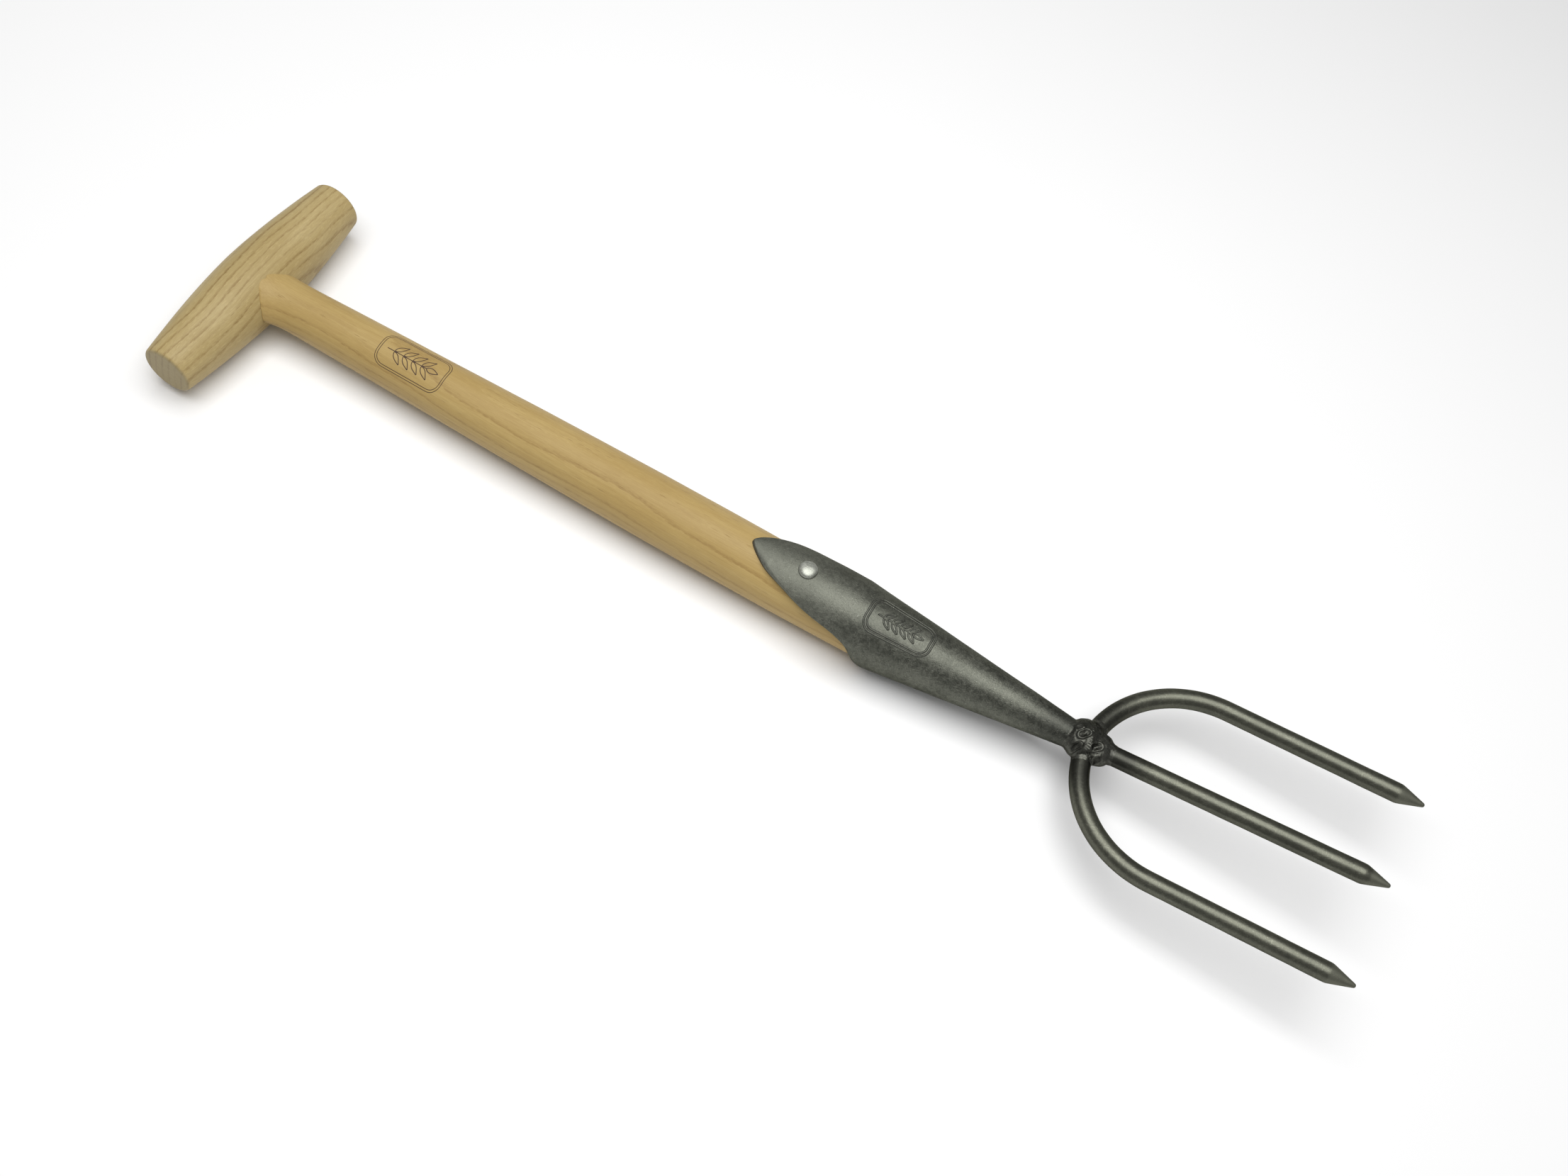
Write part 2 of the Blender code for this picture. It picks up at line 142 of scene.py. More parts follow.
RIVET_X = 0.3429
RIVET_Y = -0.0003
RIVET_R = 0.0030
RIVET_HEAD_R = 0.0050
RIVET_HEAD_H = 0.0026
RIVET_TAIL_R = 0.0044
RIVET_TAIL_H = 0.0014
WASHER_R = 0.0070
WASHER_T = 0.0012
WASHER_SEAT = 0.0149
WASHER_EDGE = 0.0002
WASHER_GAP = 0.0003

# where the marks lie, how they turn round the piece and the radius they are wrapped at
SOCKET_MARK_X = 0.3968
SOCKET_MARK_TURN = math.radians(-6.0)
SOCKET_MARK_R = 0.0190
SHAFT_MARK_X = 0.1062
SHAFT_MARK_TURN = math.radians(-9.0)
SHAFT_MARK_R = 0.0145

BAR_R = 0.0050
CROWN_X = 0.5035
BEND_X = 0.0529
BEND_Y = 0.0518
TINE_TIP_Y = 0.0514
OUTER_TIP_X = 0.6569
CROWN_Z = 0.0053
OUTER_SLOPE = 0.107
CENTRE_TIP_X = 0.6541
CENTRE_ROOT_Z = 0.0051
CENTRE_SLOPE = 0.144
POINT_LENGTH = 0.0125
POINT_R = 0.0012
POINT_FOLD = 0.00012  # rounds the fold between the point and the bar

WELD_COLS = 40
WELD_VOXEL = 0.00026  # how fine the parts of the bead are fused
WELD_FRONT = 0.0015  # above this height over the crown the bead is its front
# each lump of the bead: its centre and how far it reaches along X, Y and Z
WELD_LUMPS = (
    ((0.5006, 0.0, 0.0068), (0.0104, 0.0110, 0.0088)),
    ((0.5086, -0.0008, 0.0068), (0.0088, 0.0090, 0.0070)),
    ((0.5020, 0.0, 0.0052), (0.0108, 0.0106, 0.0080)),
)
# each crater: where it lies from the crown, its radius, its depth and how much rim it has
WELD_CRATERS = (
    (-0.0046, -0.0082, 0.0018, 0.00095, 1.3), (-0.0042, -0.0014, 0.0024, 0.00110, 0.7),
    (0.0040, -0.0036, 0.0023, 0.00090, 0.6), (0.0066, -0.0082, 0.0017, 0.00070, 0.9),
    (0.0005, 0.0072, 0.0014, 0.00050, 0.5), (0.0096, 0.0030, 0.0013, 0.00040, 0.6),
    (-0.0078, 0.0010, 0.0016, 0.00035, 0.5),
)

# the camera, from the grip's centre
CAMERA_PLACE = (0.45965, -0.39387, 0.70239)
CAMERA_TURN = (29.535, -6.846, 29.741)
CAMERA_LENS = 36.78
KEY_PLACE = (-0.02, -0.04, 1.20)
KEY_SIZE = (1.30, 1.05)
KEY_POWER = 16.5
WORLD_STRENGTH = 0.33
FLOOR_HALF = 6.0
FLOOR_GAP = 0.0002


# ---------------- curves shared by the pieces
def smooth_through(points, at):
    """Monotone cubic curve through (x, y) points, read at an array of x."""
    xs = np.array([p[0] for p in points])
    ys = np.array([p[1] for p in points])
    steps = np.diff(xs)
    rises = np.diff(ys) / steps
    both = rises[:-1] * rises[1:]
    total = np.where(rises[:-1] + rises[1:] == 0.0, 1.0, rises[:-1] + rises[1:])
    slopes = np.concatenate([[0.0], np.where(both > 0.0, 2.0 * both / total, 0.0), [0.0]])
    at = np.asarray(at, float)
    i = np.clip(np.searchsorted(xs, at, side="right") - 1, 0, len(steps) - 1)
    t = np.clip((at - xs[i]) / steps[i], 0.0, 1.0)
    return (
        (2 * t**3 - 3 * t**2 + 1) * ys[i]
        + (t**3 - 2 * t**2 + t) * steps[i] * slopes[i]
        + (3 * t**2 - 2 * t**3) * ys[i + 1]
        + (t**3 - t**2) * steps[i] * slopes[i + 1]
    )


def ease(t):
    """Goes smoothly from 0 to 1 as t does."""
    t = np.clip(t, 0.0, 1.0)
    return t * t * (3.0 - 2.0 * t)


def soft_min(a, b, soft):
    """The lesser of two values, with the fold between them rounded."""
    return 0.5 * (a + b) - np.sqrt(0.25 * (a - b) ** 2 + soft**2)


def circle(count):
    return np.linspace(0.0, 2.0 * math.pi, count, endpoint=False)


def grip_radius(y):
    share = np.clip(np.abs(y) / GRIP_HALF, 0.0, 1.0)
    return GRIP_END_R + (GRIP_MID_R - GRIP_END_R) * (1.0 - share**GRIP_POWER)


def shaft_radius(x):
    steps = np.linspace(0.0, THROAT_X, len(SHAFT_RADII))
    cubic = np.polyfit(steps, SHAFT_RADII, len(SHAFT_RADII) - 1)
    flare = SHAFT_FLARE * np.exp(-np.maximum(x - SHAFT_FLARE_X, 0.0) / SHAFT_FLARE_FADE)
    return np.polyval(cubic, x) + flare


def cone_axis_z(x):
    """The socket's axis rises from its throat to its neck."""
    return NECK_RISE * np.maximum(x - THROAT_X, 0.0) / (NECK_X - THROAT_X)


def socket_outer(x):
    """The socket's outer radius at its thick middle: strap, shoulder and cone."""
    strap = smooth_through(
        ((STRAP_OUTLINE[0][1], STRAP_TIP_R), (STRAP_MID_X, STRAP_MID_R),
         (STRAP_END_X, STRAP_END_R)), x)
    cone = THROAT_R + (NECK_R - THROAT_R) * (x - THROAT_X) / (NECK_X - THROAT_X)
    shoulder = STRAP_END_R - SHOULDER_SLOPE * (x - STRAP_END_X)
    low = soft_min(cone, shoulder, FOLD)
    return np.where(x < STRAP_END_X, strap, low + FOLD * 0.6)


def socket_inner(x):
    """The strap hugs the shaft; the cone has an even wall."""
    hugging = shaft_radius(x) + SHAFT_GAP
    t = ease((x - STRAP_END_X) / (BORE_START_X - STRAP_END_X))
    return hugging + (socket_outer(x) - PLATE - hugging) * t


# ---------------- mesh helpers
def face_outward(mesh):
    """Turns the faces of every closed shell to look out of the solid."""
    shape = bmesh.new()
    shape.from_mesh(mesh)
    bmesh.ops.recalc_face_normals(shape, faces=shape.faces)
    shape.to_mesh(mesh)
    shape.free()


def make_mesh(name, verts, faces, mat, sharp=40.0):
    mesh = bpy.data.meshes.new(name)
    moved = np.asarray(verts, float) + np.array(HOME)
    mesh.from_pydata(moved.tolist(), [], faces)
    mesh.validate()
    face_outward(mesh)
    mesh.shade_smooth()
    mesh.set_sharp_from_angle(angle=math.radians(sharp))
    mesh.materials.append(mat)
    obj = bpy.data.objects.new(name, mesh)
    bpy.context.scene.collection.objects.link(obj)
    return obj


def grid_faces(rows, cols, wrap, start=0, flip=False):
    """Quads over rows x cols vertices; wrap joins the last column to the first."""
    faces = []
    for r in range(rows - 1):
        for c in range(cols if wrap else cols - 1):
            n = (c + 1) % cols
            a, b = start + r * cols + c, start + r * cols + n
            quad = (a, b, b + cols, a + cols)
            faces.append(quad[::-1] if flip else quad)
    return faces


def closed_rings(name, rings, mat, sharp=40.0):
    """Rings of vertices, (rows, cols, 3), joined in order and closed with a fan at each end."""
    rows, cols, _ = rings.shape
    verts = rings.reshape(-1, 3)
    first, last = rings[0].mean(0), rings[-1].mean(0)
    verts = np.vstack([verts, first, last])
    faces = grid_faces(rows, cols, True, flip=True)
    tail = (rows - 1) * cols
    for c in range(cols):
        n = (c + 1) % cols
        faces.append((rows * cols, c, n))
        faces.append((rows * cols + 1, tail + n, tail + c))
    return make_mesh(name, verts, faces, mat, sharp)


def apply_modifiers(obj):
    bpy.context.view_layer.update()
    done = obj.evaluated_get(bpy.context.evaluated_depsgraph_get())
    mesh = bpy.data.meshes.new_from_object(done)
    obj.modifiers.clear()
    old = obj.data
    obj.data = mesh
    bpy.data.meshes.remove(old)


def cut(obj, tool):
    """Cuts tool out of obj for good and drops the tool."""
    mod = obj.modifiers.new("cut", "BOOLEAN")
    mod.operation = "DIFFERENCE"
    mod.solver = "EXACT"
    mod.object = tool
    apply_modifiers(obj)
    bpy.data.objects.remove(tool, do_unlink=True)


def wander(points, scale, seed):
    """Smooth noise from -1 to 1 at each point; scale is the size of its lumps in metres."""
    shift = Vector((seed * 3.71, seed * 1.37, seed * 7.13))
    flat = points.reshape(-1, 3)
    out = np.array([noise.noise(Vector(p) / scale + shift) for p in flat.tolist()])
    return out.reshape(points.shape[:-1])


def put(obj, slot, *stands_for):
    """Fixes a finished piece to the body, in place of the CAD nodes it stands for."""
    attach(obj, BODY)
    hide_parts(*stands_for)


# ---------------- materials
class Shader:
    """A material's node tree, with short calls for the nodes used here."""

    def __init__(self, name):
        self.mat = bpy.data.materials.new(name)
        self.mat.use_nodes = True
        self.tree = self.mat.node_tree
        self.bsdf = self.tree.nodes["Principled BSDF"]

    def node(self, kind, inputs=(), **settings):
        made = self.tree.nodes.new("ShaderNode" + kind)
        for key, value in settings.items():
            setattr(made, key, value)
        for key, value in dict(inputs).items():
            self.set(made.inputs[key], value)
        return made

    def set(self, socket, value):
        """Links a socket or node to an input, or sets the input to a plain value."""
        if isinstance(value, bpy.types.NodeSocket):
            self.tree.links.new(value, socket)
        elif isinstance(value, bpy.types.Node):
            self.tree.links.new(value.outputs[0], socket)
        else:
            socket.default_value = value

    def math(self, operation, a, b=0.0):
        return self.node("Math", {0: a, 1: b}, operation=operation).outputs[0]

    def times(self, a, b):
        return self.math("MULTIPLY", a, b)

    def plus(self, a, b):
        return self.math("ADD", a, b)

    def minus(self, a, b):
        return self.math("SUBTRACT", a, b)

    def spread(self, value, low, high, to_low=0.0, to_high=1.0):
        """Maps low..high to to_low..to_high, smoothly and clamped."""
        inputs = {"Value": value, "From Min": low, "From Max": high,
                  "To Min": to_low, "To Max": to_high}
        return self.node("MapRange", inputs, interpolation_type="SMOOTHSTEP").outputs[0]

    def blend(self, share, a, b):
        """Mixes two colours, with none of the second at share 0."""
        made = self.node("Mix", data_type="RGBA")
        self.set(made.inputs[0], share)
        self.set(made.inputs[6], a)
        self.set(made.inputs[7], b)
        return made.outputs[2]

    def place(self, scale=(1.0, 1.0, 1.0), turn=(0.0, 0.0, 0.0), move=(0.0, 0.0, 0.0)):
        """Where a point is from the grip's centre, moved, then turned, then scaled."""
        coords = self.node("TexCoord").outputs["Object"]
        shift = tuple(Vector(move) - HOME)
        moved = self.node("VectorMath", {0: coords, 1: shift}, operation="ADD").outputs[0]
        turned = self.node("VectorRotate", {"Vector": moved}, rotation_type="EULER_XYZ")
        turned.inputs["Rotation"].default_value = turn
        return self.node("VectorMath", {0: turned.outputs[0], 1: scale}, operation="MULTIPLY").outputs[0]

    def noise(self, vector, scale=1.0, detail=3.0, rough=0.5):
        inputs = {"Vector": vector, "Scale": scale, "Detail": detail, "Roughness": rough}
        return self.node("TexNoise", inputs).outputs["Fac"]

    def cells(self, vector, scale=1.0):
        """How far a point is from the middle of the nearest of many scattered cells."""
        return self.node("TexVoronoi", {"Vector": vector, "Scale": scale}).outputs["Distance"]

    def bump(self, height, distance, strength=1.0, normal=None):
        inputs = {"Height": height, "Distance": distance, "Strength": strength}
        if normal is not None:
            inputs["Normal"] = normal
        return self.node("Bump", inputs).outputs["Normal"]


def color(tone, share=1.0):
    """A red, green and blue tone as an opaque colour, made lighter or darker by a share."""
    return tuple(share * c for c in tone) + (1.0,)


def stretch(s, vector, across, along):
    """Scales a vector's X and Y by one amount and its Z, the way the grain runs, by another."""
    scale = (across, across, along)
    return s.node("VectorMath", {0: vector, 1: scale}, operation="MULTIPLY").outputs[0]


def wood(name, turn, heart, ring, tones, seed, line_strength, pore_strength, fleck_strength,
         ends=None):
    """Ring-porous wood as a solid texture: its grain runs along local Z after turn.

    heart is where the rings' centre lies, off the piece, and ring is the rings' spacing.
    tones are the pale latewood, the deeper wood and the brown of the earlywood pores.
    ends is how far from the middle the end grain shows.
    """
    s = Shader(name)
    pale, deep, pore_tone = tones
    here = s.place(turn=turn)
    sway = s.noise(s.place(scale=(9.0, 9.0, 9.0), move=(seed, 0.0, 0.0)), detail=2.0)
    crumple = s.noise(stretch(s, here, 700.0, 190.0), detail=3.0, rough=0.65)
    # distance from the heart, counted in rings
    off = s.node("VectorMath", {0: here, 1: heart}, operation="SUBTRACT").outputs[0]
    reach = s.node("VectorMath", {0: stretch(s, off, 1.0, 0.0)}, operation="LENGTH").outputs["Value"]
    rings = s.times(reach, 1.0 / ring)
    rings = s.plus(rings, s.times(sway, 3.2))
    rings = s.plus(rings, s.times(crumple, 0.34))
    jags = s.noise(stretch(s, here, 1300.0, 420.0), detail=1.0)
    rings = s.plus(rings, s.times(jags, 0.17))
    phase = s.math("FRACT", rings)
    year = s.math("FLOOR", rings)
    year_tone = s.node("TexWhiteNoise", {"W": year}, noise_dimensions="1D").outputs["Value"]
    line = s.times(s.spread(phase, 0.0, 0.08), s.spread(phase, 0.42, 0.10))
    # fibres and pores are long along the grain and thin across it
    fibres = s.noise(stretch(s, here, 2600.0, 42.0), detail=3.0, rough=0.6)
    streaks = s.noise(stretch(s, here, 560.0, 9.0), detail=3.0, rough=0.55)
    pore_space = stretch(s, here, 1700.0, 95.0)
    pores = s.spread(s.cells(pore_space), 0.34, 0.14)
    sparse = s.spread(s.noise(pore_space, scale=0.31, detail=1.0), 0.48, 0.58)
    pores = s.times(pores, sparse)
    flecks = s.spread(s.noise(stretch(s, here, 1200.0, 330.0), detail=2.0), 0.54, 0.66)
    broad = s.noise(s.place(scale=(22.0, 22.0, 22.0), move=(0.0, 0.0, seed)), detail=3.0)

    early = s.times(line, s.spread(streaks, 0.25, 0.60, 0.30, 1.0))
    dashes = s.noise(stretch(s, here, 1500.0, 330.0), detail=2.0, rough=0.6)
    early = s.times(early, s.spread(dashes, 0.36, 0.56, 0.45, 1.1))
    early = s.times(early, s.plus(s.times(year_tone, 0.75), 0.25))
    col = s.blend(s.spread(broad, 0.30, 0.70, 0.0, 0.60), color(pale), color(deep))
    col = s.blend(s.times(year_tone, 0.55), col, color(deep))
    col = s.blend(s.spread(streaks, 0.35, 0.72, 0.0, 0.55), col, color(deep))
    col = s.blend(s.times(flecks, fleck_strength), col, color(pale, 1.25))
    col = s.blend(s.times(early, line_strength), col, color(pore_tone))
    col = s.blend(s.spread(fibres, 0.35, 0.75, 0.0, 0.22), col, color(pore_tone))
    pore_mask = s.times(pores, s.spread(phase, 0.50, 0.04, 0.12, 1.0))
    col = s.blend(s.times(pore_mask, pore_strength), col, color(pore_tone))
    if ends:
        along = s.node("SeparateXYZ", {0: here}).outputs["Z"]
        cut_end = s.spread(s.math("ABSOLUTE", along), ends - 0.0012, ends - 0.0002, 0.0, 0.45)
        col = s.blend(cut_end, col, color((0.20, 0.175, 0.11)))
    s.set(s.bsdf.inputs["Base Color"], col)
    rough = s.plus(s.times(fibres, 0.16), s.times(pore_mask, 0.15))
    s.set(s.bsdf.inputs["Roughness"], s.plus(rough, 0.42))
    s.bsdf.inputs["Specular IOR Level"].default_value = 0.30
    relief = s.minus(s.times(fibres, 0.35), pore_mask)
    relief = s.minus(relief, s.times(line, 0.25))
    s.set(s.bsdf.inputs["Normal"], s.bump(relief, 0.00012, 0.55))
    return s.mat


def tumbled_steel(name, dark, light, rough_low, rough_high, relief, sooted=0.0, worn=None):
    """Steel dulled by tumbling: mottled tone, fine pits and short scratches all ways.

    sooted is how much darker it is near the weld. worn is (from X, to X, share): the steel
    turns rougher and paler by that share from the first X to the second.
    """
    s = Shader(name)
    here = s.place()
    clouds = s.noise(here, scale=55.0, detail=3.0, rough=0.6)
    patches = s.noise(here, scale=420.0, detail=4.0, rough=0.7)
    grains = s.noise(here, scale=1500.0, detail=3.0, rough=0.7)
    speckle = s.spread(s.cells(here, scale=1900.0), 0.28, 0.10)
    rare = s.spread(s.noise(here, scale=420.0, detail=1.0), 0.52, 0.66)
    speckle = s.times(speckle, rare)
    scratches = None
    for k, turn in enumerate(((0.3, 0.5, 0.9), (1.3, 0.2, 2.2), (0.7, 1.9, 0.4), (2.4, 1.1, 1.5))):
        along = s.place(scale=(2400.0, 2400.0, 210.0), turn=turn, move=(0.01 * k, 0.0, 0.0))
        marks = s.spread(s.noise(along, detail=1.0), 0.64, 0.74)
        scratches = marks if scratches is None else s.math("MAXIMUM", scratches, marks)
    scratches = s.times(scratches, s.spread(clouds, 0.35, 0.60, 0.35, 1.0))
    tone = s.plus(s.times(clouds, 0.25), s.times(patches, 0.45))
    tone = s.plus(tone, s.times(grains, 0.30))
    col = s.blend(s.spread(tone, 0.38, 0.62), color(dark), color(light))
    col = s.blend(s.times(speckle, 0.45), col, color(dark, 0.4))
    col = s.blend(s.times(scratches, 0.42), col, color(light, 2.0))
    if sooted:
        apart = s.node("VectorMath", {0: here, 1: (CROWN_X, 0.0, CROWN_Z)}, operation="SUBTRACT")
        apart = s.node("VectorMath", {0: apart.outputs[0]}, operation="LENGTH").outputs["Value"]
        apart = s.plus(apart, s.times(patches, 0.010))
        soot = s.spread(apart, 0.024, 0.044, sooted, 0.0)
        col = s.blend(soot, col, color((0.013, 0.013, 0.014)))
    rough = s.spread(patches, 0.25, 0.75, rough_low, rough_high)
    if worn:
        along = s.node("SeparateXYZ", {0: here}).outputs["X"]
        bare = s.spread(along, worn[0], worn[1], 0.0, worn[2])
        col = s.blend(bare, col, color(light, 1.9))
        rough = s.plus(rough, s.times(bare, 0.45))
    s.set(s.bsdf.inputs["Base Color"], col)
    s.bsdf.inputs["Metallic"].default_value = 0.95
    s.bsdf.inputs["Specular Tint"].default_value = (0.40, 0.40, 0.38, 1.0)
    s.set(s.bsdf.inputs["Roughness"], rough)
    height = s.minus(s.times(grains, 0.7), speckle)
    height = s.minus(height, s.times(scratches, 0.4))
    fine = s.bump(height, 0.00010 * relief, 0.8)
    dents = s.bump(patches, 0.00022 * relief, 0.5, fine)
    s.set(s.bsdf.inputs["Normal"], dents)
    return s.mat


def plain_dark(name, base, rough):
    s = Shader(name)
    here = s.place()
    grains = s.noise(here, scale=900.0, detail=3.0)
    col = s.blend(s.spread(grains, 0.3, 0.7), color(base), color(base, 1.7))
    s.set(s.bsdf.inputs["Base Color"], col)
    s.set(s.bsdf.inputs["Roughness"], s.spread(grains, 0.2, 0.8, rough, rough + 0.2))
    s.set(s.bsdf.inputs["Normal"], s.bump(grains, 0.00006, 0.6))
    return s.mat


# grain axes: the grip's grain runs along Y, the shaft's nearly along X
GRIP_WOOD = wood(
    "grip_ash", turn=(math.radians(90.0), 0.0, 0.0), heart=(0.13, 0.03, 0.0), ring=0.0041,
    tones=((0.470, 0.372, 0.182), (0.375, 0.278, 0.112), (0.235, 0.150, 0.052)),
    seed=0.37, line_strength=0.92, pore_strength=0.60, fleck_strength=0.22, ends=GRIP_HALF)
SHAFT_WOOD = wood(
    "shaft_ash", turn=(0.0, math.radians(-91.4), math.radians(1.2)), heart=(0.060, -0.012, 0.0),
    ring=0.0046, tones=((0.470, 0.340, 0.133), (0.385, 0.262, 0.090), (0.235, 0.138, 0.045)),
    seed=1.9, line_strength=0.52, pore_strength=0.70, fleck_strength=0.08)
WEDGE_WOOD = wood(
    "wedge_oak", turn=(0.0, math.radians(-90.0), 0.0), heart=(0.03, 0.02, 0.0), ring=0.0020,
    tones=((0.30, 0.19, 0.09), (0.24, 0.14, 0.06), (0.12, 0.06, 0.03)),
    seed=2.6, line_strength=0.6, pore_strength=0.8, fleck_strength=0.1)
SOCKET_STEEL = tumbled_steel(
    "socket_steel", dark=(0.072, 0.075, 0.062), light=(0.150, 0.154, 0.128),
    rough_low=0.38, rough_high=0.52, relief=1.0, sooted=0.45, worn=(0.395, 0.325, 0.30))
BAR_STEEL = tumbled_steel(
    "bar_steel", dark=(0.088, 0.090, 0.072), light=(0.122, 0.124, 0.098),
    rough_low=0.32, rough_high=0.40, relief=0.30, sooted=0.60, worn=(0.6425, 0.6450, 0.42))
WELD_METAL = tumbled_steel(
    "weld_metal", dark=(0.062, 0.063, 0.052), light=(0.172, 0.174, 0.148),
    rough_low=0.27, rough_high=0.40, relief=0.9, sooted=0.42)
RIVET_METAL = tumbled_steel(
    "rivet_aluminium", dark=(0.34, 0.35, 0.30), light=(0.47, 0.48, 0.43),
    rough_low=0.40, rough_high=0.55, relief=0.8)
BURNT = plain_dark("burnt_wood", (0.045, 0.024, 0.012), 0.6)
# painted shade: near-black strips that darken the feet of the socket mark's ridges
RIDGE_FOOT_SHADE = plain_dark("painted_ridge_shade", (0.012, 0.012, 0.010), 0.55)
# painted shade: a dark line on the wood along the plate's rim, where the gap falls in shadow
RIM_GAP_SHADE = plain_dark("painted_rim_shade", (0.050, 0.033, 0.016), 0.5)


# ---------------- grip
def barrel_rings(cols):
    """Rings along Y: a flat end, a rounded rim, the barrel, and the same again."""
    rim = GRIP_EDGE_R
    flat = GRIP_HALF - rim
    r_flat = float(grip_radius(flat))
    profile = [(share * (r_flat - rim), GRIP_HALF) for share in (0.1, 0.3, 0.55, 0.8, 0.95)]
    for k in range(9):
        a = math.radians(90.0 - 11.25 * k)
        profile.append((r_flat - rim + rim * math.cos(a), flat + rim * math.sin(a)))
    ys = np.linspace(flat, -flat, 150)[1:-1]
    profile += [(float(grip_radius(y)), float(y)) for y in ys]
    profile += [(r, -y) for r, y in reversed(profile[:14])]
    profile = np.array(profile)
    turn = circle(cols)
    r = profile[:, :1]
    return np.stack([
        r * np.sin(turn), np.repeat(profile[:, 1:], cols, axis=1), r * np.cos(turn)], axis=-1)


def make_grip():
    """The barrel, with faint flats left by turning and sanding and a bore for the tenon."""
    rings = barrel_rings(180)
    lumps = wander(rings, scale=0.022, seed=1) * 0.00012
    outward = rings * np.array([1.0, 0.0, 1.0])
    length = np.maximum(np.linalg.norm(outward, axis=-1, keepdims=True), 0.001)
    rings = rings + outward / length * np.minimum(lumps, 0.0)[..., None]
    grip = closed_rings("grip_wood", rings[::-1], GRIP_WOOD)
    a = circle(72)
    r = TENON_R + MORTISE_GAP
    hole = np.array([
        np.stack([np.full_like(a, x), r * np.sin(a), r * np.cos(a)], axis=-1)
        for x in (-CLEAR_OF_WOOD, -MORTISE_DEPTH)])
    cut(grip, closed_rings("mortise_tool", hole, GRIP_WOOD))
    put(grip, "grip_wood", "grip")


def barrel_x(y, z):
    """How far the grip's surface lies from its axis along X, at some y and z."""
    return np.sqrt(np.maximum(grip_radius(y) ** 2 - z**2, 0.0))


def make_tenon():
    """The shaft's tenon, dressed flush with the grip's outer side, and its wedge."""
    a = circle(72)
    foot = np.full_like(a, -TENON_DEPTH)
    rings = [np.stack([foot, TENON_R * np.sin(a), TENON_R * np.cos(a)], axis=-1)]
    for share in (1.0, 0.97, 0.85, 0.7, 0.5, 0.3, 0.1):
        y, z = TENON_R * share * np.sin(a), TENON_R * share * np.cos(a)
        dressed = 0.0003 if share == 1.0 else 0.00005
        rings.append(np.stack([-barrel_x(y, z) + dressed, y, z], axis=-1))
    tenon = closed_rings("tenon_end", np.array(rings)[::-1], SHAFT_WOOD)
    half, wide = WEDGE_THICK / 2.0, WEDGE_WIDE / 2.0
    y, z = half + KERF_GAP, wide + KERF_GAP
    slot = np.array([
        [(x, -y, -z), (x, y, -z), (x, y, z), (x, -y, z)] for x in (-CLEAR_OF_WOOD, -KERF_DEPTH)])
    cut(tenon, closed_rings("kerf_tool", slot, SHAFT_WOOD))
    rise = np.linspace(-wide, wide, 24)
    outline_y = np.repeat([-half, half], 24)
    outline_z = np.concatenate([rise, rise[::-1]])
    layers = []
    for share in (0.2, 0.6, 0.9, 1.0):
        y, z = outline_y * share, outline_z * (0.9 + 0.1 * share)
        worn = 0.00015 if share == 1.0 else 0.0
        layers.append(np.stack([-barrel_x(y, z) + worn, y, z], axis=-1))
    layers.append(np.stack([np.full(48, -WEDGE_DEPTH), outline_y, outline_z], axis=-1))
    wedge = closed_rings("wedge_end", np.array(layers), WEDGE_WOOD)
    put(tenon, "shaft_wood", "shaft")
    put(wedge, "wedge_wood", "tenon_wedge")


# ---------------- shaft
def shaft_surface(x, angle, lift=0.0):
    """A point on the shaft; near the grip it keeps a proud corner left by hand shaping."""
    r = shaft_radius(x)
    degrees = np.degrees(angle)
    edge = CORNER_EDGE * np.exp(-np.abs(degrees - CORNER_EDGE_TURN) / CORNER_EDGE_WIDTH)
    corner = smooth_through(SHAFT_CORNER, degrees) + edge
    joint = np.sqrt(GRIP_MID_R**2 - (CORNER_R * np.cos(angle)) ** 2)
    eased = SHAFT_FLARE * SHAFT_EASE
    r = r + corner * np.exp(-np.maximum(x - joint, 0.0) / SHAFT_CORNER_FADE) - eased
    r = r + eased * ease((x - SHAFT_EASE_X) / SHAFT_EASE_LENGTH)
    round_point = np.stack([x + 0.0 * r, r * np.sin(angle), r * np.cos(angle)], axis=-1)
    r = r + wander(round_point, scale=0.030, seed=5) * 0.00010 + lift
    return np.stack([x + 0.0 * r, r * np.sin(angle), r * np.cos(angle)], axis=-1)


